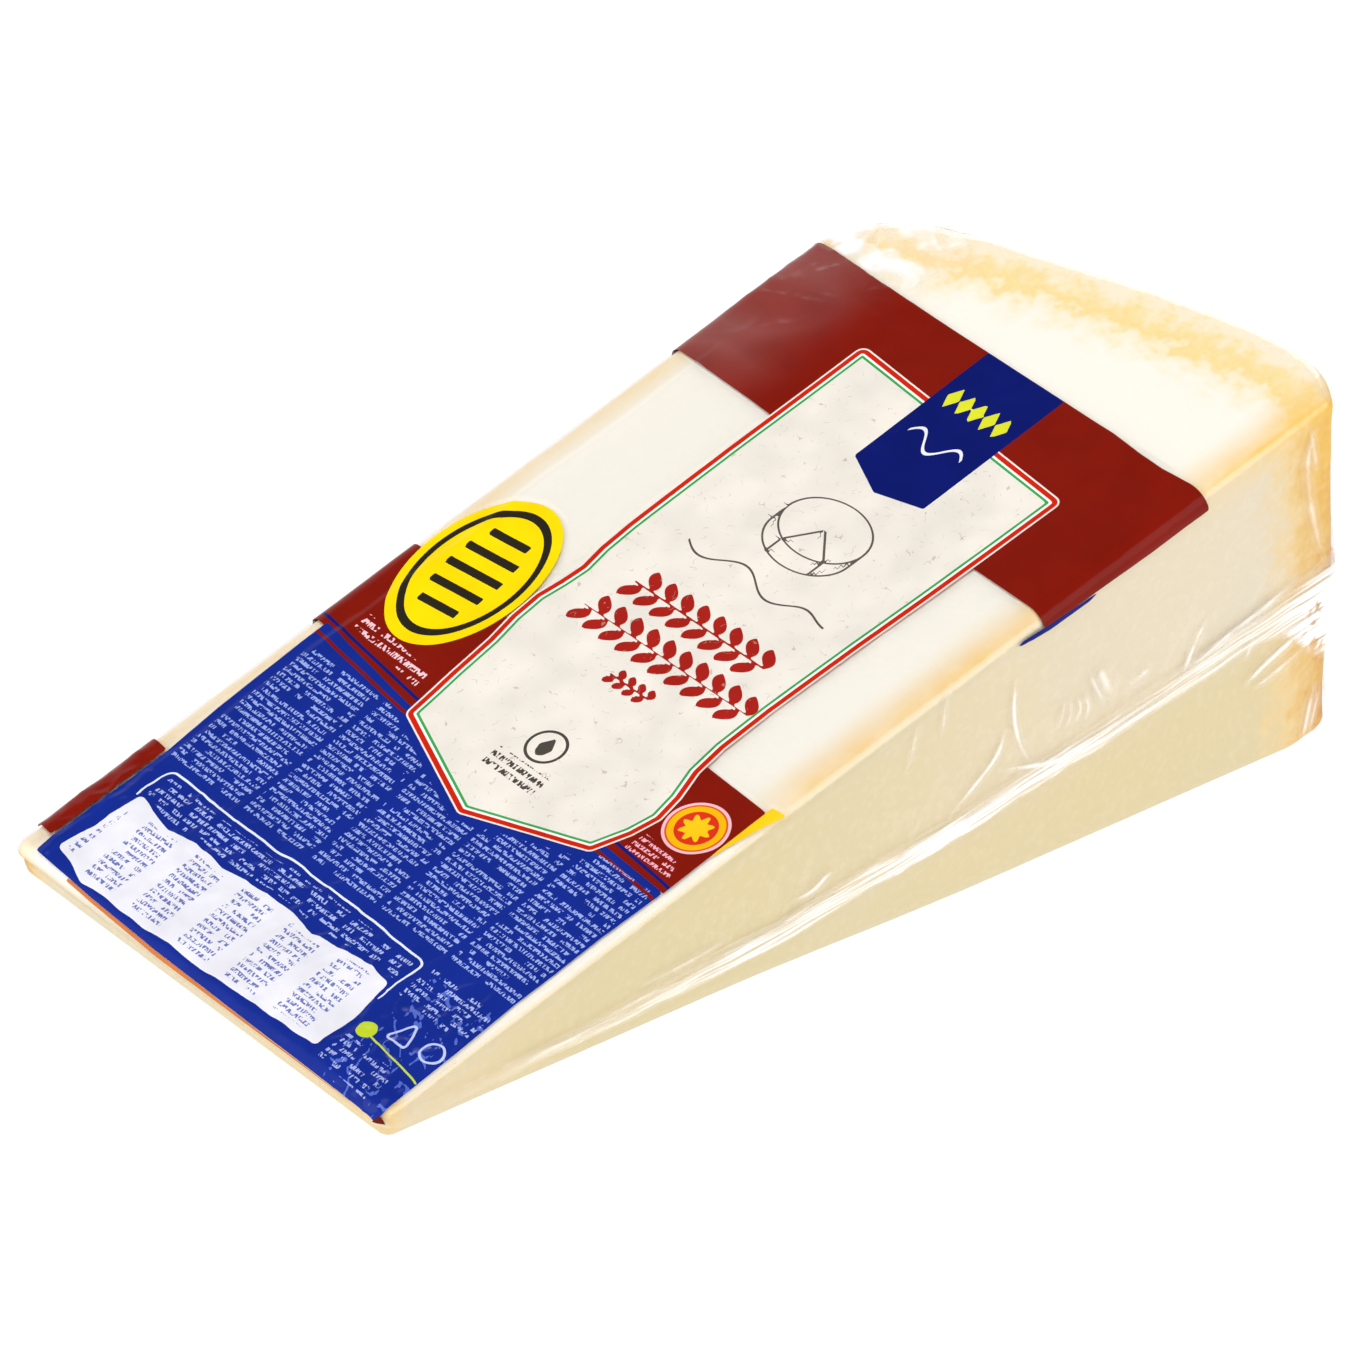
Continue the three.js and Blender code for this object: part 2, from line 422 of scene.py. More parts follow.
        normals = (
            np.abs(ll)[..., None] * lengthwise
            + np.abs(hl)[..., None] * heightwise
            + al[..., None] * np.array([0.0, 1.0, 0.0])
        )
        normals = normals / np.linalg.norm(normals, axis=-1, keepdims=True)
        points = points - (drop * self.wrap(points[..., 0]))[..., None] * self.up_slope
        return points + self.edge_round * normals, normals

    def narrowed(self, points: Points) -> Points:
        """The points as they settle under the film: the width drawn in towards the tip by
        1 - taper * (1 - x / radius), and the near face's foot swollen by a bell of z."""
        x, y, z = (points[..., i] for i in range(3))
        tapered = y * (1.0 - self.tip_taper * (1.0 - x / self.wheel_radius))
        along = ease(x, 90.0, 145.0) * ease(x, 220.0, 211.0)
        swell = self.base_swell * along * bell(z, 12.0) * ease(y, 14.0, 1.0)
        return np.stack([x, tapered - swell, z], axis=-1)

    def along_slope(self, points: Points) -> Values:
        """Distance from the wheel's axis along the slope."""
        return points[..., 0] * math.cos(self.slope) + points[..., 2] * math.sin(self.slope)


@dataclass(frozen=True)
class Lattice:
    """Grid lines in the chunk's three directions; its outer points are the chunk's skin."""

    length: Lines
    height: Lines
    across: Lines

    def shell(
        self, faces: tuple[Face, ...], low: int = 0, high: int | None = None
    ) -> tuple[Points, Points]:
        """Line numbers and quads of some faces, between two height lines.

        Args:
            faces: which faces to take.
            low: lowest height line of the upright faces.
            high: highest height line of the upright faces.

        Returns:
            Line numbers (n, 3) of the points, and quads (m, 4) that face outwards.
        """
        nl, nh, nw = self.length.count, self.height.count, self.across.count
        high = nh - 1 if high is None else high
        i, j, k = np.arange(nl), np.arange(low, high + 1), np.arange(nw)
        sides = {
            Face.TIP: (j, k, lambda a, b: (0, a, b), False),
            Face.RIND: (j, k, lambda a, b: (nl - 1, a, b), True),
            Face.NEAR: (i, j, lambda a, b: (a, b, 0), False),
            Face.FAR: (i, j, lambda a, b: (a, b, nw - 1), True),
            Face.BASE: (i, k, lambda a, b: (a, 0, b), True),
            Face.SLOPE: (i, k, lambda a, b: (a, nh - 1, b), False),
        }
        quads = []
        for face in faces:
            first, second, place, flip = sides[face]
            a, b = np.meshgrid(first, second, indexing="ij")
            p, q, r = place(a, b)
            ids = (p * nh + q) * nw + r + 0 * a
            quads.append(grid_quads(ids, flip))
        joined = np.concatenate(quads)
        kept, numbered = np.unique(joined, return_inverse=True)
        lines = np.stack([kept // (nh * nw), kept // nw % nh, kept % nw], axis=-1)
        return lines, numbered.reshape(joined.shape)


def grid_quads(ids: Values, flip: bool = False) -> Values:
    """Quads between the neighbours of a grid of point numbers, turned round if flip."""
    quads = np.stack([ids[:-1, :-1], ids[1:, :-1], ids[1:, 1:], ids[:-1, 1:]], axis=-1)
    quads = quads.reshape(-1, 4)
    return quads[:, ::-1] if flip else quads


# ---------------------------------------------------------------- meshes and nodes


def linear(hex_colour: str) -> tuple[float, float, float, float]:
    """An sRGB hex colour as linear numbers, with alpha 1."""
    parts = [int(hex_colour[i : i + 2], 16) / 255.0 for i in (1, 3, 5)]
    bent = [p / 12.92 if p <= 0.04045 else ((p + 0.055) / 1.055) ** 2.4 for p in parts]
    return bent[0], bent[1], bent[2], 1.0


def add_node(
    tree: bpy.types.NodeTree,
    kind: str,
    inputs: dict | None = None,
    stops: list[tuple[float, tuple]] | None = None,
    **settings,
) -> bpy.types.Node:
    """Adds one node, with its settings, values and links.

    Args:
        tree: the node tree.
        kind: the node's type name.
        inputs: value or output socket for each input, by name or number.
        stops: place and colour of each stop of a colour ramp.
        settings: the node's own properties.

    Returns:
        The node.
    """
    made = tree.nodes.new(kind)
    for name, value in settings.items():
        setattr(made, name, value)
    for name, value in (inputs or {}).items():
        socket = made.inputs[name]
        if isinstance(value, bpy.types.NodeSocket):
            tree.links.new(value, socket)
        else:
            socket.default_value = value
    if stops:
        ramp = made.color_ramp.elements
        while len(ramp) > 1:
            ramp.remove(ramp[-1])
        ramp[0].position, ramp[0].color = stops[0]
        for place, colour in stops[1:]:
            ramp.new(place).color = colour
    return made


def new_material(name: str) -> tuple[bpy.types.Material, bpy.types.NodeTree]:
    """A material with an empty node tree."""
    material = bpy.data.materials.new(name)
    material.use_nodes = True
    material.node_tree.nodes.clear()
    return material, material.node_tree


def make_piece(
    name: str,
    points: Points,
    quads: Values,
    material: bpy.types.Material,
    stands_for: str,
    values: dict[str, Values] | None = None,
) -> bpy.types.Object:
    """Makes one smooth mesh piece that rides on the part.

    Args:
        name: the piece's name.
        points: millimetres from the wheel's axis, (n, 3).
        quads: point numbers, (m, 4).
        material: its finish.
        stands_for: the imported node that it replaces.
        values: named numbers (n) or vectors (n, 3), one for each point.

    Returns:
        The object.
    """
    mesh = bpy.data.meshes.new(name)
    placed = (points + np.array(AXIS_IN_ROW)) * MM
    mesh.from_pydata(placed.tolist(), [], quads.tolist())
    for label, numbers in (values or {}).items():
        is_vector = numbers.ndim == 2
        kind, part = ("FLOAT_VECTOR", "vector") if is_vector else ("FLOAT", "value")
        layer = mesh.attributes.new(label, kind, "POINT")
        layer.data.foreach_set(part, numbers.astype(np.float32).ravel())
    mesh.polygons.foreach_set("use_smooth", np.ones(len(quads), bool))
    mesh.materials.append(material)
    mesh.update()
    piece = bpy.data.objects.new(name, mesh)
    bpy.context.scene.collection.objects.link(piece)
    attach(piece, "root")
    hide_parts(stands_for)
    LOG.info("%s: %d points, %d quads", name, len(points), len(quads))
    return piece


def second_finish(piece: bpy.types.Object, material: bpy.types.Material, chosen: Values) -> None:
    """Gives the chosen faces of a piece a second material."""
    piece.data.materials.append(material)
    piece.data.polygons.foreach_set("material_index", chosen.astype(np.int32))


# ---------------------------------------------------------------- how the film lies


@dataclass(frozen=True)
class FilmLie:
    """How the tight film departs from the bare skin: its seam, folds and crumples."""

    wedge: Wedge
    seam_rise: float = 0.2
    gather_rise: float = 0.45

    def masks(self, normals: Points) -> dict[Face, Values]:
        """How much each point belongs to each face, from its normal, 0 to 1."""
        x, y, z = (normals[..., i] for i in range(3))
        up = normals @ self.wedge.up_slope
        return {
            Face.SLOPE: ease(up, 0.55, 0.95),
            Face.NEAR: ease(-y, 0.55, 0.95),
            Face.FAR: ease(y, 0.55, 0.95),
            Face.RIND: ease(x, 0.45, 0.9),
            Face.TIP: ease(-x, 0.5, 0.9),
            Face.BASE: ease(-z, 0.55, 0.95),
        }

    def seam_swell(self, points: Points, normals: Points) -> Values:
        """Swelling along the belt seam: a bell over the seam's width with slow crumples."""
        x, y, z = (points[..., i] for i in range(3))
        sideways = np.clip(1.0 - np.abs(normals[..., 2]), 0.0, 1.0) ** 2
        below_top = x * math.tan(self.wedge.slope) - z - 1.2 * self.wedge.wrap(x)
        clear = np.clip(below_top / self.wedge.seam_half_width, 0.0, 1.0)
        offset = z - self.wedge.seam_height(x)
        crumple = 1.0 + 0.35 * np.sin(2.0 * math.pi * (x + 0.6 * y) / 11.0)
        on_rind = np.clip(normals[..., 0], 0.0, 1.0)
        ridge = self.seam_rise * (1.0 - 0.9 * on_rind) * crumple
        ridge = ridge * bell(offset, self.wedge.seam_half_width)
        from_rind = self.wedge.wheel_radius - np.hypot(x, z)
        gather = self.gather_rise * bell(from_rind, 14.0) * bell(offset, 6.8)
        return sideways * clear * (ridge + (1.0 - on_rind) * gather)

    def corner_nearness(self, points: Points) -> Values:
        """1 at the crumpled top corner between rind and flat face, falling off over 19 mm."""
        corner = np.array([192.0, 86.0, 61.0])
        return bell(np.linalg.norm(points - corner, axis=-1), 19.0)

    def rim_nearness(self, points: Points, masks: dict[Face, Values]) -> Values:
        """1 along the slope's rind edge, falling off over 5 mm."""
        across = np.clip(points[..., 1] / self.wedge.half_height, 0.0, 1.0)
        reach = self.wedge.rind_radius(across, np.ones_like(across))
        depth = reach - np.hypot(points[..., 0], points[..., 2])
        return ease(depth, 7.0, 2.0) * np.clip(masks[Face.SLOPE] + masks[Face.RIND], 0, 1)

    def relief(self, points: Points, normals: Points) -> tuple[Values, Values]:
        """How far the film stands out, and how milky its folds are.

        It adds up slow ripples, the seam's swelling, folds over the print's tip end, the crumpled
        corner and rim, the tip's near corner and short ripples above the seam.

        Args:
            points: bare skin points.
            normals: their normals.

        Returns:
            Rise in mm, and milkiness from 0 to 1.
        """
        masks = self.masks(normals)
        x, y, z = (points[..., i] for i in range(3))
        u = self.wedge.along_slope(points)
        rise = 0.09 * rough_noise(points / 15.0, 3) + self.seam_swell(points, normals)
        milk = np.zeros_like(rise)

        tip_end = masks[Face.SLOPE] * ease(u, 62.0, 38.0) * ease(u, 22.0, 27.0) * ease(y, -2.0, 8.0)
        wrinkled = folds(flat_points(u / 7.0 + 0.15 * y / 4.0, y / 5.0), 11)
        rise = rise + tip_end * (0.5 * wrinkled - 0.15)
        middle = masks[Face.SLOPE] * ease(u, 175.0, 60.0)
        rise = rise + middle * 0.07 * rough_noise(flat_points(u / 9.0, y / 5.0), 17)
        left = masks[Face.SLOPE] * bell(u - 176.0, 12.0) * ease(y, 68.0, 84.0)
        rise = rise + left * 0.3 * folds(flat_points((u + 0.9 * y) / 9.0, (y - u) / 26.0), 23, 1)
        edge_line = bell(y - 82.3 - 1.1 * noise(flat_points(u / 17.0, 0 * u), 29), 0.9)
        rise = rise + masks[Face.SLOPE] * 0.3 * edge_line * ease(u, 190.0, 150.0)

        corner = self.corner_nearness(points)
        crumple = folds(points / 6.5, 31, 3)
        rise = rise + corner * (0.5 * crumple - 0.15)
        milk = np.maximum(milk, ease(corner, 0.1, 0.7) * (0.5 + 0.35 * ease(crumple, 0.1, 0.6)))
        rim = self.rim_nearness(points, masks)
        fine = folds(points / 3.4, 37, 2)
        rise = rise + rim * 0.07 * (fine - 0.3)
        # Milky flecks on the fold crests along the rim: the crumpled film's own milkiness, and painted
        # sparkle highlights.
        milk = np.maximum(milk, 0.4 * rim * ease(fine, 0.5, 0.85))
        near_by = bell(np.linalg.norm(points - np.array([21.5, 1.5, 2.5]), axis=-1), 8.0)
        rise = rise + near_by * 0.4 * folds(points / 4.5, 41)

        near = masks[Face.NEAR]
        over = z - self.wedge.seam_height(x)
        above = ease(over, 14.0, 4.0) * ease(over, 0.0, 2.0) * ease(x, 60.0, 110.0)
        ripples = folds(flat_points((x - 0.35 * z) / 4.2, (z + 0.35 * x) / 16.0), 47, 2)
        rise = rise + near * above * 0.06 * ripples
        milk = np.maximum(milk, 0.16 * near * above * ease(ripples, 0.7, 1.0))
        return rise, milk


# ---------------------------------------------------------------- finishes


@dataclass(frozen=True)
class CutCheese:
    """Hard grana cheese, cut with a wire and a knife: a dense, matt, fine-grained paste with a
    smooth golden rind."""

    # One paste in two colours: the slope's is painted lighter for the light from above, the upright
    # faces' is painted darker for their shade.
    paste_top_painted_light: str = "#FBF6EB"
    paste_side_painted_shade: str = "#DFD2B8"
    # A darker, yellower paste colour: painted shade below the seam, and a darker tone on the upright
    # faces towards the tip.
    paste_low: str = "#D9C898"
    # Painted glow: the golden colour of light scattered through the paste near thin edges, mixed in by
    # the glow share value.
    glow: str = "#F4C768"
    rind_gold: str = "#EFBE2E"
    fleck_pale: str = "#FFF8EA"
    fleck_dark: str = "#D9B98A"
    # On the slope: pale cream at the rim's rounding is a painted highlight, then the golden rind band,
    # then the paste.
    slope_rind_and_painted_highlight_stops: tuple[tuple[float, str], ...] = (
        (0.0, "#F8ECD6"), (0.2, "#F9EBCE"), (0.36, "#F8E0A4"), (0.48, "#F7DC94"),
        (0.6, "#F9EAC4"), (0.9, "#FBF4E4"),
    )
    side_stops: tuple[tuple[float, str], ...] = (
        (0.0, "#C4841A"), (0.12, "#D2962E"), (0.3, "#DFB254"), (0.6, "#E8CA8E"),
    )
    roughness: float = 0.55
    ior: float = 1.45

    def rind_ramp(
        self, tree: bpy.types.NodeTree, depth: bpy.types.NodeSocket, paste: object, slope: bool
    ) -> bpy.types.NodeSocket:
        """The colours from the rind inwards over 20 mm, which give way to the paste; on the slope the
        outermost pale colours are a painted highlight on the rim's rounding.
        """
        stops = self.slope_rind_and_painted_highlight_stops if slope else self.side_stops
        colours = add_node(
            tree,
            "ShaderNodeValToRGB",
            {0: depth},
            stops=[(place, linear(colour)) for place, colour in stops],
        ).outputs[0]
        inner = add_node(
            tree,
            "ShaderNodeMapRange",
            {"Value": depth, "From Min": 0.5, "From Max": 1.0},
            interpolation_type="SMOOTHSTEP",
        ).outputs["Result"]
        return add_node(
            tree, "ShaderNodeMix", {0: inner, 6: colours, 7: paste}, data_type="RGBA"
        ).outputs[2]

    def build(self) -> bpy.types.Material:
        """The material: paste and rind colours by the piece's own values, with painted light and shade on
        the paste, a painted glow, mottles, fine grain of 1 mm and flecks."""
        material, tree = new_material("grana_paste_and_rind")
        spot = add_node(tree, "ShaderNodeTexCoord").outputs["Object"]
        value = {
            name: add_node(tree, "ShaderNodeAttribute", attribute_name=name).outputs["Fac"]
            for name in ("slope_share", "low_share", "rim_mm", "painted_glow_share", "gold_share")
        }
        mottle = add_node(
            tree,
            "ShaderNodeTexNoise",
            {"Vector": spot, "Scale": 260.0, "Detail": 2.0, "Roughness": 0.7},
        ).outputs["Fac"]
        cloud = add_node(
            tree, "ShaderNodeTexNoise", {"Vector": spot, "Scale": 28.0, "Detail": 1.0}
        ).outputs["Fac"]
        grain = add_node(
            tree, "ShaderNodeTexNoise", {"Vector": spot, "Scale": 900.0, "Detail": 0.0}
        ).outputs["Fac"]
        side = add_node(
            tree,
            "ShaderNodeMix",
            {0: value["low_share"], 6: linear(self.paste_side_painted_shade), 7: linear(self.paste_low)},
            data_type="RGBA",
        ).outputs[2]
        wander = add_node(
            tree, "ShaderNodeMath", {0: mottle, 1: 14.0, 2: -7.0}, operation="MULTIPLY_ADD"
        ).outputs[0]
        depth = add_node(
            tree, "ShaderNodeMath", {0: value["rim_mm"], 1: wander}, operation="ADD"
        ).outputs[0]
        depth = add_node(
            tree, "ShaderNodeMath", {0: depth, 1: 20.0}, operation="DIVIDE"
        ).outputs[0]
        # The slope takes the painted lit colour, the other faces the painted shaded colour.
        paste = add_node(
            tree,
            "ShaderNodeMix",
            {
                0: value["slope_share"],
                6: self.rind_ramp(tree, depth, side, False),
                7: self.rind_ramp(tree, depth, linear(self.paste_top_painted_light), True),
            },
            data_type="RGBA",
        ).outputs[2]
        # Painted glow first, then the rind's gold, over the paste.
        for share, colour in (("painted_glow_share", self.glow), ("gold_share", self.rind_gold)):
            paste = add_node(
                tree,
                "ShaderNodeMix",
                {0: value[share], 6: paste, 7: linear(colour)},
                data_type="RGBA",
            ).outputs[2]
        clouded = add_node(
            tree,
            "ShaderNodeMapRange",
            {"Value": cloud, "From Min": 0.35, "From Max": 0.7, "To Min": 0.0, "To Max": 0.2},
        ).outputs["Result"]
        paste = add_node(
            tree,
            "ShaderNodeMix",
            {0: clouded, 6: paste, 7: linear(self.fleck_dark)},
            data_type="RGBA",
            blend_type="SOFT_LIGHT",
        ).outputs[2]
        pale = add_node(
            tree,
            "ShaderNodeMapRange",
            {"Value": grain, "From Min": 0.5, "From Max": 0.8, "To Min": 0.0, "To Max": 0.08},
        ).outputs["Result"]
        paste = add_node(
            tree,
            "ShaderNodeMix",
            {0: pale, 6: paste, 7: linear(self.fleck_pale)},
            data_type="RGBA",
        ).outputs[2]
        bump = add_node(
            tree,
            "ShaderNodeBump",
            {"Strength": 0.3, "Distance": 0.0003, "Height": grain},
        ).outputs["Normal"]
        shader = add_node(
            tree,
            "ShaderNodeBsdfPrincipled",
            {
                "Base Color": paste,
                "Roughness": self.roughness,
                "IOR": self.ior,
                "Normal": bump,
            },
        )
        add_node(tree, "ShaderNodeOutputMaterial", {"Surface": shader.outputs[0]})
        return material


@dataclass(frozen=True)
class ClearBarrierFilm:
    """Clear PA/PE vacuum film, drawn tight: sharp small highlights, and a milky look where it is folded
    on itself. The inner glow is a painted glow that stands for the light that scatters along inside the
    folds. Where the milk is thin its colour turns to a painted tan shade, for the shade beside and under
    the folds."""

    name: str = "clear_barrier_film"
    roughness: float = 0.12
    ior: float = 1.5
    milk_colour: str = "#FFFFFF"
    painted_shade_colour: str = "#F6E8CC"
    most_gloss: float = 0.1
    inner_glow: float = 0.06
    streaked: bool = False

    def build(self) -> bpy.types.Material:
        """The material: mostly see-through, gloss by Fresnel, and milk by the piece's own value,
        broken up by streaks 0.5 mm wide."""
        material, tree = new_material(self.name)
        material.cycles.emission_sampling = "NONE"
        spot = add_node(tree, "ShaderNodeTexCoord").outputs["Object"]
        milk = add_node(tree, "ShaderNodeAttribute", attribute_name="milk").outputs["Fac"]
        ripple = add_node(
            tree, "ShaderNodeTexNoise", {"Vector": spot, "Scale": 260.0, "Detail": 0.0}
        ).outputs["Fac"]
        bump = add_node(
            tree, "ShaderNodeBump", {"Strength": 0.35, "Distance": 0.0004, "Height": ripple}
        ).outputs["Normal"]
        if self.streaked:
            lie = add_node(tree, "ShaderNodeAttribute", attribute_name="lie_mm").outputs["Vector"]
            streaks = add_node(
                tree,
                "ShaderNodeTexNoise",
                {
                    "Vector": add_node(
                        tree, "ShaderNodeVectorMath", {0: lie, 1: (0.05, 1.7, 1.0)}, operation="MULTIPLY"
                    ).outputs[0],
                    "Scale": 1.0,
                    "Detail": 3.0,
                },
            ).outputs["Fac"]
            wisps = add_node(
                tree,
                "ShaderNodeMapRange",
                {"Value": streaks, "From Min": 0.36, "From Max": 0.64, "To Min": 0.22, "To Max": 1.0},
            ).outputs["Result"]
        else:
            wisps = add_node(
                tree,
                "ShaderNodeMapRange",
                {"Value": ripple, "From Min": 0.35, "From Max": 0.6, "To Min": 0.45, "To Max": 1.0},
            ).outputs["Result"]
        cover = add_node(
            tree, "ShaderNodeMath", {0: milk, 1: wisps}, operation="MULTIPLY"
        ).outputs[0]
        fresnel = add_node(tree, "ShaderNodeFresnel", {"IOR": self.ior}).outputs[0]
        shine = add_node(
            tree, "ShaderNodeMath", {0: fresnel, 1: self.most_gloss}, operation="MINIMUM"
        ).outputs[0]
        clear = add_node(tree, "ShaderNodeBsdfTransparent")
        gloss = add_node(
            tree,
            "ShaderNodeBsdfGlossy",
            {"Color": (1.0, 1.0, 1.0, 1.0), "Roughness": self.roughness, "Normal": bump},
        )
        see_through = add_node(
            tree, "ShaderNodeMixShader", {0: shine, 1: clear.outputs[0], 2: gloss.outputs[0]}
        )
        # Colour by cover: a painted tan shade where the milk is thin, white where it is thick.
        tone = add_node(
            tree,
            "ShaderNodeValToRGB",
            {0: cover},
            stops=[
                (0.05, linear(self.painted_shade_colour)),
                (0.3, linear("#FBF3E4")),
                (0.55, linear(self.milk_colour)),
            ],
        ).outputs[0]
        milky = add_node(
            tree,
            "ShaderNodeBsdfPrincipled",
            {
                "Base Color": tone,
                "Roughness": 0.22,
                "IOR": self.ior,
                "Normal": bump,
                "Emission Color": tone,
                "Emission Strength": self.inner_glow,
            },
        )
        both = add_node(
            tree,
            "ShaderNodeMixShader",
            {0: cover, 1: see_through.outputs[0], 2: milky.outputs[0]},
        )
        add_node(tree, "ShaderNodeOutputMaterial", {"Surface": both.outputs[0]})
        return material


@dataclass(frozen=True)
class TautFilm:
    """Clear film where it lies smooth: see-through, with a sharp gloss."""

    name: str = "taut_clear_film"
    roughness: float = 0.1
    ior: float = 1.5
    most_gloss: float = 0.1

    def build(self) -> bpy.types.Material:
        """The material: see-through with a gloss by Fresnel, a little rougher in patches."""
        material, tree = new_material(self.name)
        spot = add_node(tree, "ShaderNodeTexCoord").outputs["Object"]
        patches = add_node(
            tree, "ShaderNodeTexNoise", {"Vector": spot, "Scale": 60.0, "Detail": 0.0}
        ).outputs["Fac"]
        rough = add_node(
            tree,
            "ShaderNodeMath",
            {0: patches, 1: self.roughness, 2: 0.5 * self.roughness},
            operation="MULTIPLY_ADD",
        ).outputs[0]
        fresnel = add_node(tree, "ShaderNodeFresnel", {"IOR": self.ior}).outputs[0]
        shine = add_node(
            tree, "ShaderNodeMath", {0: fresnel, 1: self.most_gloss}, operation="MINIMUM"
        ).outputs[0]
        clear = add_node(tree, "ShaderNodeBsdfTransparent")
        gloss = add_node(tree, "ShaderNodeBsdfGlossy", {"Roughness": rough})
        both = add_node(
            tree, "ShaderNodeMixShader", {0: shine, 1: clear.outputs[0], 2: gloss.outputs[0]}
        )
        add_node(tree, "ShaderNodeOutputMaterial", {"Surface": both.outputs[0]})
        return material


@dataclass(frozen=True)
class Ink:
    """One printed shape: where its distance value lies below edge, or within half of middle.

    Attributes:
        shape: name of the web's distance value, in mm.
        colour: sRGB hex.
        edge: the shape's rim, in mm of that value.
        half: half width of a stripe round edge instead of a filled shape; 0 fills.
        base: True if the shape lays ink on bare film, so that it is opaque.
    """

    shape: str
    colour: str
    edge: float = 0.0
    half: float = 0.0
    base: bool = False


@dataclass(frozen=True)
class TypeBlock:
    """Rows of small marks that stand for fine print.

    Attributes:
        shape: name of the web's distance value that bounds the block.
        colour: sRGB hex.
        pitch: row to row, mm.
        size: width of a mark, mm.
        share: from 0, few words, to 1, rows without gaps.
    """

    shape: str
    colour: str
    pitch: float = 1.3
    size: float = 0.34
    share: float = 0.7


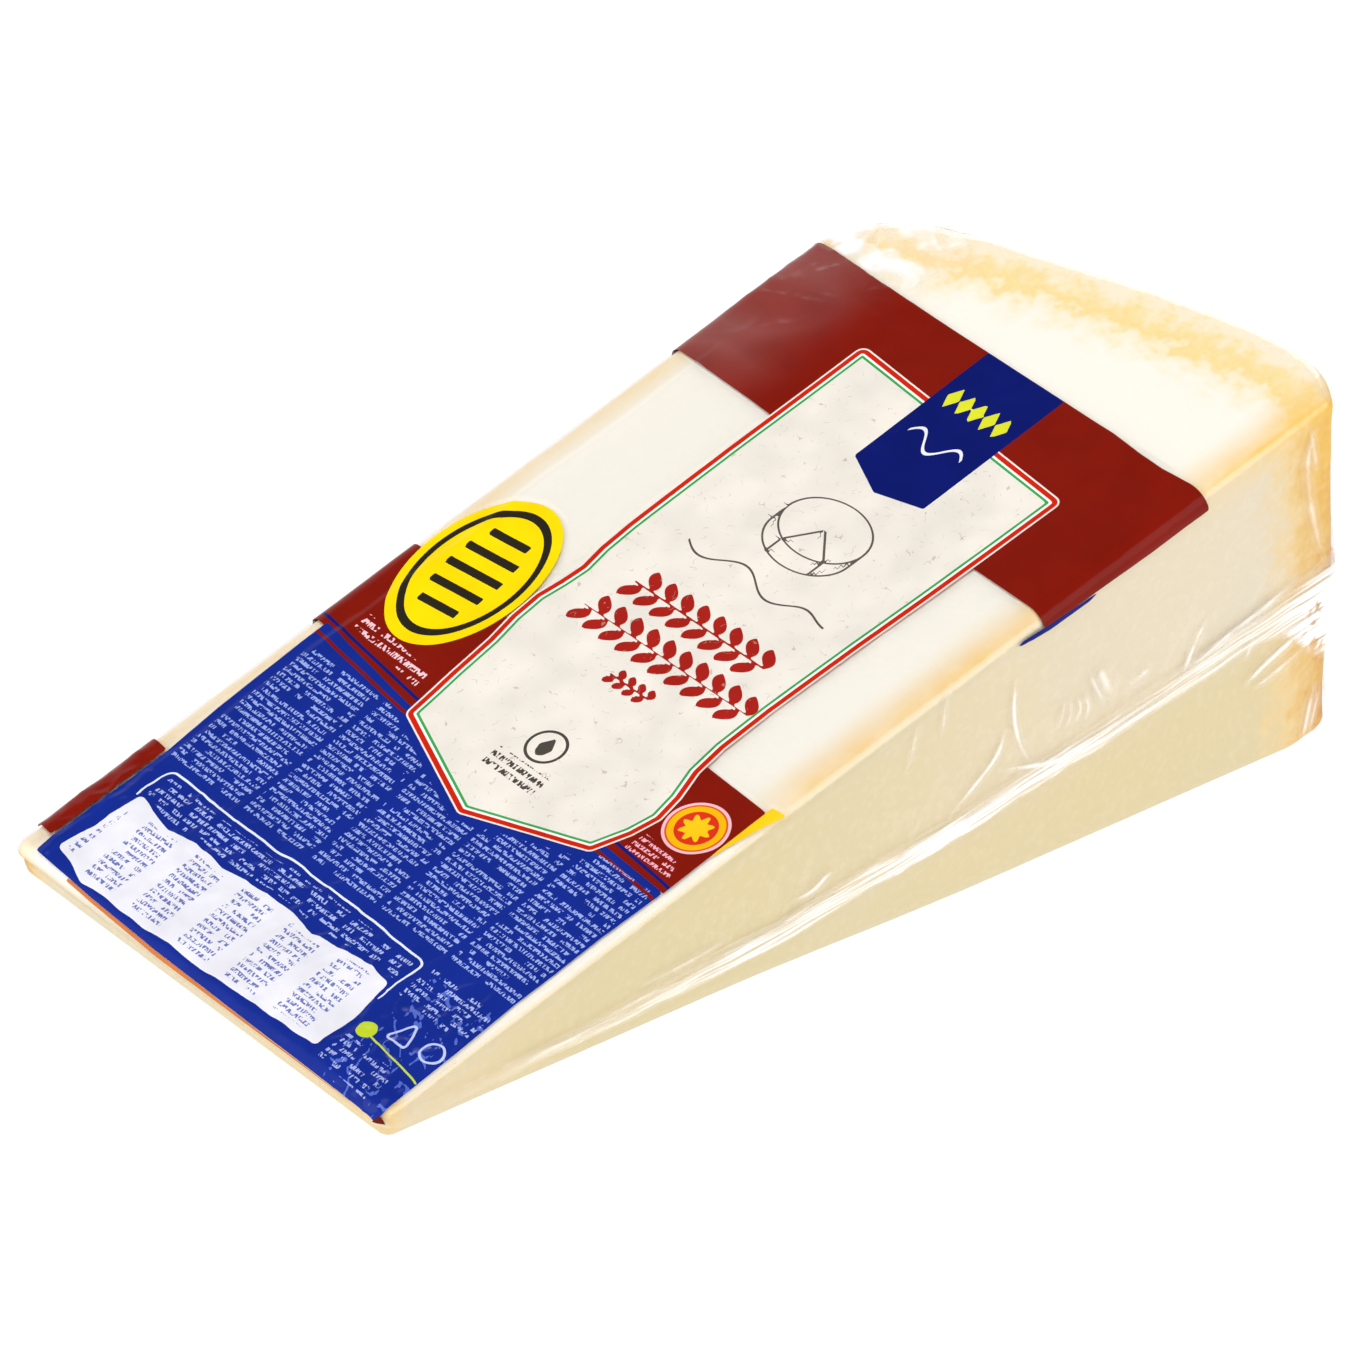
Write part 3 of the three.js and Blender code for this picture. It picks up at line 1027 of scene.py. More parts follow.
@dataclass(frozen=True)
class PrintedWeb:
    """Reverse-printed lidding film: solid glossy inks under a clear skin, with clear windows."""

    inks: tuple[Ink, ...]
    blocks: tuple[TypeBlock, ...]
    painted_sheen_colour: str = "#E6D2CE"
    roughness: float = 0.16
    ior: float = 1.5

    def rows(
        self, tree: bpy.types.NodeTree, lie: bpy.types.NodeSocket, pitch: float, size: float
    ) -> tuple[bpy.types.NodeSocket, bpy.types.NodeSocket]:
        """Rows of small marks, and a noise that breaks each row into words.

        Args:
            tree: the node tree.
            lie: (u, v) in mm.
            pitch: row to row, mm.
            size: width of a mark, mm.

        Returns:
            The marks' cover and the word noise.
        """
        parts = add_node(tree, "ShaderNodeSeparateXYZ", {0: lie}).outputs
        row = add_node(
            tree, "ShaderNodeMath", {0: parts[0], 1: 1.0 / pitch}, operation="MULTIPLY"
        ).outputs[0]
        number = add_node(tree, "ShaderNodeMath", {0: row}, operation="FLOOR").outputs[0]
        within = add_node(tree, "ShaderNodeMath", {0: row}, operation="FRACT").outputs[0]
        body = add_node(
            tree, "ShaderNodeMath", {0: within, 1: 0.46, 2: 0.28}, operation="COMPARE"
        ).outputs[0]
        word_place = add_node(
            tree,
            "ShaderNodeCombineXYZ",
            {
                0: add_node(
                    tree, "ShaderNodeMath", {0: parts[1], 1: 1.0 / (8.0 * size)}, operation="MULTIPLY"
                ).outputs[0],
                1: add_node(
                    tree, "ShaderNodeMath", {0: number, 1: 7.31}, operation="MULTIPLY"
                ).outputs[0],
            },
        ).outputs[0]
        words = add_node(
            tree,
            "ShaderNodeTexNoise",
            {"Vector": word_place, "Scale": 1.0, "Detail": 0.0},
            noise_dimensions="2D",
        ).outputs["Fac"]
        stretched = add_node(
            tree,
            "ShaderNodeVectorMath",
            {0: lie, 1: (0.45 / size, 1.0 / size, 1.0)},
            operation="MULTIPLY",
        ).outputs[0]
        marks = add_node(
            tree,
            "ShaderNodeTexNoise",
            {"Vector": stretched, "Scale": 1.0, "Detail": 0.0},
            noise_dimensions="2D",
        ).outputs["Fac"]
        marks = add_node(
            tree, "ShaderNodeMath", {0: marks, 1: 0.49}, operation="GREATER_THAN"
        ).outputs[0]
        cover = add_node(
            tree, "ShaderNodeMath", {0: marks, 1: body}, operation="MULTIPLY"
        ).outputs[0]
        return cover, words

    def type_cover(
        self,
        tree: bpy.types.NodeTree,
        rows: tuple[bpy.types.NodeSocket, bpy.types.NodeSocket],
        block: TypeBlock,
    ) -> bpy.types.NodeSocket:
        """Cover of one block of fine print: its rows and words inside its bounds."""
        cover, words = rows
        bound = add_node(
            tree, "ShaderNodeAttribute", attribute_name=block.shape
        ).outputs["Fac"]
        tests = ((words, 0.62 - 0.3 * block.share, "GREATER_THAN"), (bound, 0.0, "LESS_THAN"))
        for value, limit, test in tests:
            passed = add_node(
                tree, "ShaderNodeMath", {0: value, 1: limit}, operation=test
            ).outputs[0]
            cover = add_node(
                tree, "ShaderNodeMath", {0: cover, 1: passed}, operation="MULTIPLY"
            ).outputs[0]
        return cover

    def build(self) -> bpy.types.Material:
        """The material: each ink and block over the ones before it, clear where none lies."""
        material, tree = new_material("reverse_printed_lidding_film")
        spot = add_node(tree, "ShaderNodeTexCoord").outputs["Object"]
        lie = add_node(tree, "ShaderNodeAttribute", attribute_name="print_mm").outputs["Vector"]
        colour: object = linear(self.inks[0].colour)
        cover: object = 0.0
        seen: dict[str, bpy.types.NodeSocket] = {}
        for ink in self.inks:
            if ink.shape not in seen:
                seen[ink.shape] = add_node(
                    tree, "ShaderNodeAttribute", attribute_name=ink.shape
                ).outputs["Fac"]
            if ink.half:
                inside = add_node(
                    tree, "ShaderNodeMath", {0: seen[ink.shape], 1: ink.edge, 2: ink.half},
                    operation="COMPARE",
                ).outputs[0]
            else:
                inside = add_node(
                    tree, "ShaderNodeMath", {0: seen[ink.shape], 1: ink.edge},
                    operation="LESS_THAN",
                ).outputs[0]
            colour = add_node(
                tree,
                "ShaderNodeMix",
                {0: inside, 6: colour, 7: linear(ink.colour)},
                data_type="RGBA",
            ).outputs[2]
            if ink.base:
                cover = add_node(
                    tree, "ShaderNodeMath", {0: cover, 1: inside}, operation="MAXIMUM"
                ).outputs[0]
        rows: dict[tuple[float, float], tuple] = {}
        for block in self.blocks:
            key = (block.pitch, block.size)
            if key not in rows:
                rows[key] = self.rows(tree, lie, *key)
            colour = add_node(
                tree,
                "ShaderNodeMix",
                {0: self.type_cover(tree, rows[key], block), 6: colour, 7: linear(block.colour)},
                data_type="RGBA",
            ).outputs[2]
        colour = self.fibres(tree, lie, colour)
        # Painted reflection: a pale sheen mixed into the print colour.
        painted_sheen = add_node(tree, "ShaderNodeAttribute", attribute_name="painted_sheen").outputs["Fac"]
        colour = add_node(
            tree,
            "ShaderNodeMix",
            {0: painted_sheen, 6: colour, 7: linear(self.painted_sheen_colour)},
            data_type="RGBA",
        ).outputs[2]
        cloud = add_node(
            tree, "ShaderNodeTexNoise", {"Vector": spot, "Scale": 140.0, "Detail": 1.0}
        ).outputs["Fac"]
        shade = add_node(
            tree,
            "ShaderNodeMapRange",
            {"Value": cloud, "From Min": 0.3, "From Max": 0.7, "To Min": 0.93, "To Max": 1.05},
        ).outputs["Result"]
        colour = add_node(
            tree,
            "ShaderNodeVectorMath",
            {0: colour, "Scale": shade},
            operation="SCALE",
        ).outputs[0]
        ripple = add_node(
            tree, "ShaderNodeTexNoise", {"Vector": spot, "Scale": 330.0, "Detail": 0.0}
        ).outputs["Fac"]
        bump = add_node(
            tree, "ShaderNodeBump", {"Strength": 0.2, "Distance": 0.0003, "Height": ripple}
        ).outputs["Normal"]
        printed = add_node(
            tree,
            "ShaderNodeBsdfPrincipled",
            {
                "Base Color": colour,
                "Roughness": self.roughness,
                "IOR": self.ior,
                "Specular IOR Level": 0.09,
                "Normal": bump,
            },
        )
        clear = add_node(tree, "ShaderNodeBsdfTransparent")
        both = add_node(
            tree, "ShaderNodeMixShader", {0: cover, 1: clear.outputs[0], 2: printed.outputs[0]}
        )
        add_node(tree, "ShaderNodeOutputMaterial", {"Surface": both.outputs[0]})
        return material

    def fibres(self, tree: bpy.types.NodeTree, lie: bpy.types.NodeSocket, colour: object):
        """Printed paper fibres on the pale panel: thin bits of a noise's contour lines, about
        3 mm long, where a second noise is high."""
        field_noise = add_node(
            tree, "ShaderNodeTexNoise", {"Vector": lie, "Scale": 0.33, "Detail": 1.0},
            noise_dimensions="2D",
        ).outputs["Fac"]
        contour = add_node(
            tree, "ShaderNodeMath", {0: field_noise, 1: 0.5, 2: 0.006}, operation="COMPARE"
        ).outputs[0]
        pick = add_node(
            tree,
            "ShaderNodeMath",
            {
                0: add_node(
                    tree, "ShaderNodeTexNoise", {"Vector": lie, "Scale": 0.8, "Detail": 0.0},
                    noise_dimensions="2D",
                ).outputs["Fac"],
                1: 0.62,
            },
            operation="GREATER_THAN",
        ).outputs[0]
        panel = add_node(tree, "ShaderNodeAttribute", attribute_name="panel").outputs["Fac"]
        tab = add_node(tree, "ShaderNodeAttribute", attribute_name="tab").outputs["Fac"]
        cover = add_node(
            tree, "ShaderNodeMath", {0: panel, 1: -2.1}, operation="LESS_THAN"
        ).outputs[0]
        off_tab = add_node(
            tree, "ShaderNodeMath", {0: tab, 1: 0.1}, operation="GREATER_THAN"
        ).outputs[0]
        for part in (contour, pick, off_tab):
            cover = add_node(
                tree, "ShaderNodeMath", {0: cover, 1: part}, operation="MULTIPLY"
            ).outputs[0]
        faint = add_node(tree, "ShaderNodeMath", {0: cover, 1: 0.55}, operation="MULTIPLY")
        return add_node(
            tree,
            "ShaderNodeMix",
            {0: faint.outputs[0], 6: colour, 7: linear("#B09A82")},
            data_type="RGBA",
        ).outputs[2]


@dataclass(frozen=True)
class StudioPaper:
    """Seamless white backlit sheet, as a light table: clean white with hardly a shadow."""

    colour: str = "#707070"
    glow: float = 0.94

    def build(self) -> bpy.types.Material:
        """The material: matt, with a faint grain, and white by its own light."""
        material, tree = new_material("white_studio_paper")
        spot = add_node(tree, "ShaderNodeTexCoord").outputs["Object"]
        grain = add_node(tree, "ShaderNodeTexNoise", {"Vector": spot, "Scale": 400.0}).outputs[0]
        bump = add_node(
            tree, "ShaderNodeBump", {"Strength": 0.05, "Distance": 0.0002, "Height": grain}
        ).outputs["Normal"]
        shader = add_node(
            tree,
            "ShaderNodeBsdfPrincipled",
            {
                "Base Color": linear(self.colour),
                "Roughness": 0.9,
                "Specular IOR Level": 0.1,
                "Emission Color": (1.0, 1.0, 1.0, 1.0),
                "Emission Strength": self.glow,
                "Normal": bump,
            },
        )
        add_node(tree, "ShaderNodeOutputMaterial", {"Surface": shader.outputs[0]})
        return material


# ---------------------------------------------------------------- pieces


@dataclass(frozen=True)
class CheeseChunk:
    """The cheese itself, just inside the film."""

    wedge: Wedge
    finish: CutCheese
    inset: float = 0.45
    length_steps: int = 210
    height_steps: int = 66
    width_steps: int = 90

    def build(self) -> bpy.types.Object:
        """The wedge's skin moved in by the inset, with slow lumps 0.25 mm high, and the values
        that its finish reads: shares, and the depth under the rind in mm."""
        wedge = self.wedge
        lattice = Lattice(
            Lines.spread(np.linspace(0, 1, self.length_steps), 5),
            Lines.spread(np.linspace(0, 1, self.height_steps), 5),
            Lines.spread(both_ends(self.width_steps), 5),
        )
        lines, quads = lattice.shell(tuple(Face))
        bare, normals = wedge.skin(
            lattice.length.take(lines[:, 0]),
            lattice.height.take(lines[:, 1]),
            lattice.across.take(lines[:, 2]),
        )
        on_base = ease(-normals[:, 2], 0.5, 0.9)
        lumps = 0.25 * rough_noise(bare / 18.0, 71) + 0.08 * rough_noise(bare / 4.0, 73)
        points = bare + normals * (lumps * (1 - on_base) - self.inset * (1 - 0.6 * on_base))[:, None]
        x, y, z = bare.T
        across = np.clip(y / wedge.half_height, 0.0, 1.0)
        depth = wedge.rind_radius(across, np.ones_like(across)) - np.hypot(x, z)
        side_depth = wedge.half_height - y
        slope_share = ease(normals @ wedge.up_slope, 0.3, 0.75)
        slope_share = slope_share * (1.0 - 0.8 * ease(x, 27.0, 24.0) * ease(y, 42.0, 10.0))
        on_near = ease(-normals[:, 1], 0.4, 0.9)
        under_edge = x * math.tan(wedge.slope) - z
        # Low share: painted shade below the seam; from x 185 mm towards the tip a darker, yellower tone
        # that eases off again near the tip.
        low = ease(z - wedge.seam_height(x), 6.0, -8.0)
        # Painted glow of scattered light: along the slope's near and far edges, at the near face's tip
        # end and top right, and at the tip.
        glow = 0.7 * slope_share * ease(y, 8.5, 0.5) * ease(x, 88.0, 106.0)
        glow = glow + 0.15 * on_near * ease(x, 62.0, 30.0)
        glow = glow + 0.4 * slope_share * ease(y, 82.5, 87.0) * ease(x, 205.0, 180.0)
        glow = glow + 0.35 * ease(x, 27.0, 24.0) * ease(y, 52.0, 8.0)
        glow = glow + 0.45 * on_near * ease(under_edge, 9.0, 0.5) * ease(x, 165.0, 205.0)
        golden = ease(x, 200.0, 214.0) * ease(z, 34.0, 62.0) * (1.0 - slope_share)
        values = {
            "slope_share": slope_share,
            "low_share": np.maximum(0.85 * low, 0.95 * ease(x, 185.0, 85.0) - 0.5 * ease(x, 62.0, 28.0)),
            "rim_mm": np.clip(np.minimum(depth, side_depth * 2.2 + 40 * slope_share), 0.0, 40.0),
            "painted_glow_share": glow * (1.0 + 0.4 * rough_noise(bare / 9.0, 79)),
            "gold_share": 0.9 * golden,
        }
        return make_piece(
            "cheese_chunk",
            wedge.narrowed(points),
            quads,
            self.finish.build(),
            "vacuum_pack",
            values,
        )


@dataclass(frozen=True)
class ClearFilmWebs:
    """The two clear webs of the pack, which meet at the belt seam: the lid web over the slope and
    the base web round the base."""

    wedge: Wedge
    lie: FilmLie
    finish: ClearBarrierFilm
    taut: TautFilm
    length_steps: int = 300
    height_steps: int = 96
    width_steps: int = 110

    def build(self) -> list[bpy.types.Object]:
        """Both webs: the wedge's skin moved out by the film's relief, and pressed down where the
        printed web lies on it."""
        wedge = self.wedge
        lattice = Lattice(
            Lines.spread(np.linspace(0, 1, self.length_steps), 6),
            Lines.spread(np.linspace(0, 1, self.height_steps + 1), 6),
            Lines.spread(both_ends(self.width_steps), 6),
        )
        middle = lattice.height.count // 2
        upright = (Face.TIP, Face.RIND, Face.NEAR, Face.FAR)
        material, taut = self.finish.build(), self.taut.build()
        webs = {
            "lid_film": lattice.shell(upright + (Face.SLOPE,), middle, None),
            "base_film": lattice.shell(upright + (Face.BASE,), 0, middle),
        }
        pieces = []
        for name, (lines, quads) in webs.items():
            bare, normals = wedge.skin(
                lattice.length.take(lines[:, 0]),
                lattice.height.take(lines[:, 1]),
                lattice.across.take(lines[:, 2]),
            )
            rise, milk = self.lie.relief(bare, normals)
            on_base = ease(-normals[:, 2], 0.5, 0.9)
            covered = self.under_print(bare, normals)
            rise = rise * (1 - on_base) - 0.22 * covered
            milk = milk * (1 - on_base) * (1 - covered)
            piece = make_piece(
                name,
                wedge.narrowed(bare + normals * rise[:, None]),
                quads,
                material,
                "vacuum_pack",
                {"milk": milk},
            )
            second_finish(piece, taut, np.all(milk[quads] < 0.01, axis=1))
            pieces.append(piece)
        return pieces

    def under_print(self, points: Points, normals: Points) -> Values:
        """1 where the printed web lies over the film."""
        u = self.wedge.along_slope(points)
        up = normals @ self.wedge.up_slope
        return ease(u, self.wedge.print_end + 1.0, self.wedge.print_end - 1.0) * ease(up, 0.5, 0.8)


@dataclass(frozen=True)
class BeltSeam:
    """The crumpled heat seam that runs round the pack as a milky ribbon pressed on the film, with
    a bunch of gathered film at the near rind corner."""

    wedge: Wedge
    lie: FilmLie
    finish: ClearBarrierFilm
    steps_per_mm: float = 2.2
    width_steps: int = 34

    def perimeter(self) -> tuple[Values, Values, Values, Values]:
        """Shares and leans of length and width once round the chunk: along the near face from the
        tip, over the rind, back along the far face and over the tip."""
        turn = np.tan(np.linspace(0.0, math.pi / 4, 7))
        near = np.linspace(0, 1, int(203 * self.steps_per_mm))
        rind = np.linspace(0, 1, int(88 * self.steps_per_mm))
        far = near[::-1]
        tip = np.linspace(1, 0, int(84 * self.steps_per_mm))
        ones, zeros = np.ones_like(turn), np.zeros_like(turn)
        runs = [
            (near, 0 * near, 0 * near, 0 * near - 1),
            (ones, turn, zeros, -ones),
            (ones, ones, zeros, -turn[::-1]),
            (1 + 0 * rind, 1 + 0 * rind, rind, 0 * rind),
            (ones, ones, ones, turn),
            (ones, turn[::-1], ones, ones),
            (far, 0 * far, 1 + 0 * far, 1 + 0 * far),
            (zeros, -turn, ones, ones),
            (zeros, -ones, ones, turn[::-1]),
            (0 * tip, 0 * tip - 1, tip, 0 * tip),
            (zeros, -ones, zeros, -turn),
            (zeros, -turn[::-1], zeros, -ones),
        ]
        columns = [np.concatenate(column) for column in zip(*runs)]
        same = np.all(np.abs(np.diff(np.stack(columns), axis=1)) < 1e-9, axis=0)
        keep = np.concatenate([[True], ~same])
        return tuple(column[keep] for column in columns)

    def build(self) -> bpy.types.Object:
        """The ribbon: the skin between two distances from the seam's middle round the perimeter,
        raised by low streaky folds, and wider and crumpled where the film is gathered at the
        near rind corner."""
        length, length_lean, across, across_lean = self.perimeter()
        wedge = self.wedge
        x = wedge.tip_cut + (wedge.wheel_radius - wedge.tip_cut) * length
        middle_line, _ = wedge.skin(
            (length, length_lean), (0 * x + 0.5, 0 * x), (across, across_lean)
        )
        steps = np.linalg.norm(np.diff(middle_line, axis=0), axis=1)
        run = np.concatenate([[0.0], np.cumsum(steps)])
        corner = run[np.argmax((length == 1) & (length_lean == 1) & (across_lean == -1))]
        gather = bell(run - corner, 8.5)
        local, middle, _ = wedge.room(x)
        half = 1.3 + 1.4 * ease(x, 40.0, 95.0) + 0.9 * ease(x, 150.0, 215.0)
        low = np.minimum(half + 13.0 * gather, 0.8 * local * middle)
        high = np.minimum(half + 2.5 * gather, 0.8 * local * (1.0 - middle))
        share = np.linspace(-1.0, 1.0, self.width_steps)[None, :]
        wander = 0.8 * noise(flat_points(run / 21.0, 0 * run), 83) * ease(x, 30.0, 60.0)
        offset = np.where(share < 0, share * low[:, None], share * high[:, None])
        offset = offset + wander[:, None] * (1.0 - 0.0 * share)
        grid = np.ones_like(offset)
        height = wedge.share_of(x[:, None] * grid, offset)
        bare, normals = wedge.skin(
            (length[:, None] * grid, length_lean[:, None] * grid),
            (height, 0.0 * height),
            (across[:, None] * grid, across_lean[:, None] * grid),
        )
        rise, _ = self.lie.relief(bare, normals)
        run, bunch = run[:, None] * grid, gather[:, None] * grid
        tight = 1.0 - np.abs(share) ** 4
        streak = folds(flat_points(run / 22.0, offset / 1.3), 89, 2)
        crumple = folds(bare / 5.5, 97, 3)
        bunch = bunch * ease(offset, 4.0, 0.0)
        fin = tight * (0.05 + 0.03 * streak + 0.4 * bunch * np.clip(crumple - 0.25, 0.0, 1.0))
        fin = fin * ease(x, 24.0, 60.0)[:, None]
        points = bare + normals * (rise + 0.1 + fin)[..., None]
        ragged = share + 0.3 * rough_noise(flat_points(run / 6.0, 0 * run), 101)
        band = ease(ragged, -0.98, -0.7) * (1.0 - 0.8 * ease(ragged, 0.0, 0.95))
        strong = 0.5 * ease(x, 26.0, 60.0) + 0.5 * ease(x, 60.0, 130.0) - 0.4 * ease(x, 150.0, 200.0)
        strong = strong[:, None]
        milk = band * strong * (0.75 + 0.5 * streak)
        milk = milk * (1.0 - bunch) + bunch * tight * 2.4 * ease(crumple, 0.08, 0.4)
        ids = np.arange(height.size).reshape(height.shape)
        ids = np.concatenate([ids, ids[:1]])
        return make_piece(
            "belt_seam",
            wedge.narrowed(points).reshape(-1, 3),
            grid_quads(ids, False),
            self.finish.build(),
            "vacuum_pack",
            {
                "milk": milk.ravel(),
                "lie_mm": np.stack([run, offset, 0 * run], axis=-1).reshape(-1, 3),
            },
        )


@dataclass(frozen=True)
class Crease:
    """One fold of the film on the near face.

    Attributes:
        stops: its way as (x, z), mm from the wheel's axis.
        half: half width of the milky fold, mm.
        milk: its milkiness, from 0 to 1.
    """

    stops: tuple[tuple[float, float], ...]
    half: float = 0.45
    milk: float = 0.75

    def way(self, step: float = 0.6) -> Points:
        """The way with its corners cut three times, at even steps."""
        way = np.array(self.stops, float)
        for _ in range(3):
            near, far = way[:-1], way[1:]
            cut = np.stack([near * 0.75 + far * 0.25, near * 0.25 + far * 0.75], axis=1)
            way = np.concatenate([way[:1], cut.reshape(-1, 2), way[-1:]])
        run = np.concatenate([[0.0], np.cumsum(np.linalg.norm(np.diff(way, axis=0), axis=1))])
        even = np.linspace(0.0, run[-1], max(6, int(run[-1] / step)))
        return np.stack([np.interp(even, run, way[:, i]) for i in range(2)], axis=-1)


CREASES = (
    Crease(((145.4, 38.1), (146.0, 30.9), (148.7, 24.3), (151.5, 20.4)), 0.4, 0.7),
    Crease(((144.7, 29.2), (144.1, 24.8), (139.9, 21.0), (135.2, 17.4)), 0.45, 0.7),
    Crease(((144.2, 21.9), (153.5, 19.3), (161.8, 18.3), (170.6, 19.6), (180.9, 22.7)), 0.5, 0.75),
    Crease(((187.4, 33.9), (185.1, 29.7), (183.5, 24.2)), 0.5, 0.6),
    Crease(((183.5, 24.6), (190.9, 28.4), (199.4, 31.1), (208.1, 34.5)), 0.5, 0.6),
    Crease(((187.6, 26.0), (195.7, 29.6), (205.1, 32.7)), 0.35, 0.5),
    Crease(((197.8, 22.3), (198.7, 25.7), (199.6, 27.6)), 0.4, 0.45),
    Crease(((163.8, 33.6), (165.9, 30.2), (168.5, 26.2)), 0.9, 0.5),
    Crease(((161.6, 33.6), (164.3, 29.3), (166.5, 25.8)), 0.4, 0.4),
    Crease(((156.5, 24.8), (157.4, 27.5), (157.3, 30.1)), 0.35, 0.5),
    Crease(((158.4, 24.2), (159.2, 26.8), (158.2, 29.7)), 0.35, 0.5),
    Crease(((160.2, 24.6), (161.4, 26.7), (160.1, 29.3)), 0.35, 0.45),
    Crease(((162.6, 24.4), (163.1, 26.5), (161.6, 29.3)), 0.35, 0.4),
    Crease(((171.6, 27.4), (173.7, 28.2), (175.7, 29.1)), 0.7, 0.5),
    Crease(((130.5, 33.2), (130.4, 38.7), (130.9, 43.0)), 0.35, 0.3),
    Crease(((123.7, 29.3), (124.6, 33.0), (124.7, 36.6)), 0.35, 0.3),
    Crease(((198.6, 17.6), (204.0, 20.6), (210.6, 23.4)), 0.6, 0.8),
    Crease(((200.6, 16.2), (206.7, 17.9), (211.5, 20.1)), 0.5, 0.7),
    Crease(((206.2, 62.4), (205.0, 59.0), (205.6, 54.0), (208.8, 44.4), (212.7, 36.0)), 0.55, 0.5),
    Crease(((204.9, 62.2), (206.2, 58.6), (207.9, 53.9)), 0.4, 0.35),
    Crease(((213.5, 1.9), (214.2, 6.5), (215.1, 12.3)), 0.6, 0.55),
    Crease(((215.4, 2.7), (216.0, 6.6), (216.7, 10.9)), 0.4, 0.4),
    Crease(((84.7, 6.7), (96.7, 9.4), (110.8, 12.2)), 0.45, 0.5),
    Crease(((72.0, 9.9), (82.1, 10.5), (90.1, 11.9)), 0.4, 0.35),
    Crease(((102.2, 13.7), (106.8, 13.8), (109.2, 15.8), (111.4, 16.0)), 0.5, 0.6),
    Crease(((44.4, 6.2), (60.6, 5.3), (76.8, 4.7)), 0.35, 0.35),
)


@dataclass(frozen=True)
class FilmCreases:
    """The film's single folds on the near face, as narrow milky strips pressed on it, each with a faint
    painted shade beside it.
    """

    wedge: Wedge
    lie: FilmLie
    finish: ClearBarrierFilm
    creases: tuple[Crease, ...] = CREASES
    width_steps: int = 11

    def strip(self, crease: Crease) -> tuple[Points, Values]:
        """Points and milk of one strip: a sharp ridge with a faint painted shade beside it, on one side.
        """
        way = crease.way()
        ahead = np.gradient(way, axis=0)
        ahead = ahead / np.linalg.norm(ahead, axis=1, keepdims=True)
        sideways = np.stack([-ahead[:, 1], ahead[:, 0]], axis=-1)
        share = np.linspace(-1.0, 1.0, self.width_steps)[None, :]
        run = np.linspace(0.0, 1.0, len(way))[:, None]
        taper = ease(run, 0.0, 0.25) * ease(run, 1.0, 0.7)
        width = 2.8 * crease.half * (0.35 + 0.65 * taper)
        flat = way[:, None, :] + sideways[:, None, :] * (share * width)[..., None]
        bare = np.stack([flat[..., 0], 0.0 * flat[..., 0], flat[..., 1]], axis=-1)
        normals = np.broadcast_to(np.array([0.0, -1.0, 0.0]), bare.shape)
        rise, _ = self.lie.relief(bare, normals)
        ridge = bell(share, 0.3) * taper
        points = bare + normals * (rise + 0.1 + 0.05 * ridge)[..., None]
        # Low milk on one side of the ridge, which the film's colour ramp turns to a painted tan shade.
        painted_shade_skirt = 0.08 * (1.0 - share**2) * ease(share, 0.5, -0.5)
        return points, (crease.milk * ridge + painted_shade_skirt * taper)

    def build(self) -> bpy.types.Object:
        """All strips as one piece."""
        points, quads, milks, count = [], [], [], 0
        for crease in self.creases:
            strip, milk = self.strip(crease)
            ids = np.arange(milk.size).reshape(milk.shape) + count
            count += milk.size
            points.append(self.wedge.narrowed(strip).reshape(-1, 3))
            milks.append(milk.ravel())
            quads.append(grid_quads(ids, False))
        return make_piece(
            "film_creases",
            np.concatenate(points),
            np.concatenate(quads),
            self.finish.build(),
            "vacuum_pack",
            {"milk": np.concatenate(milks)},
        )


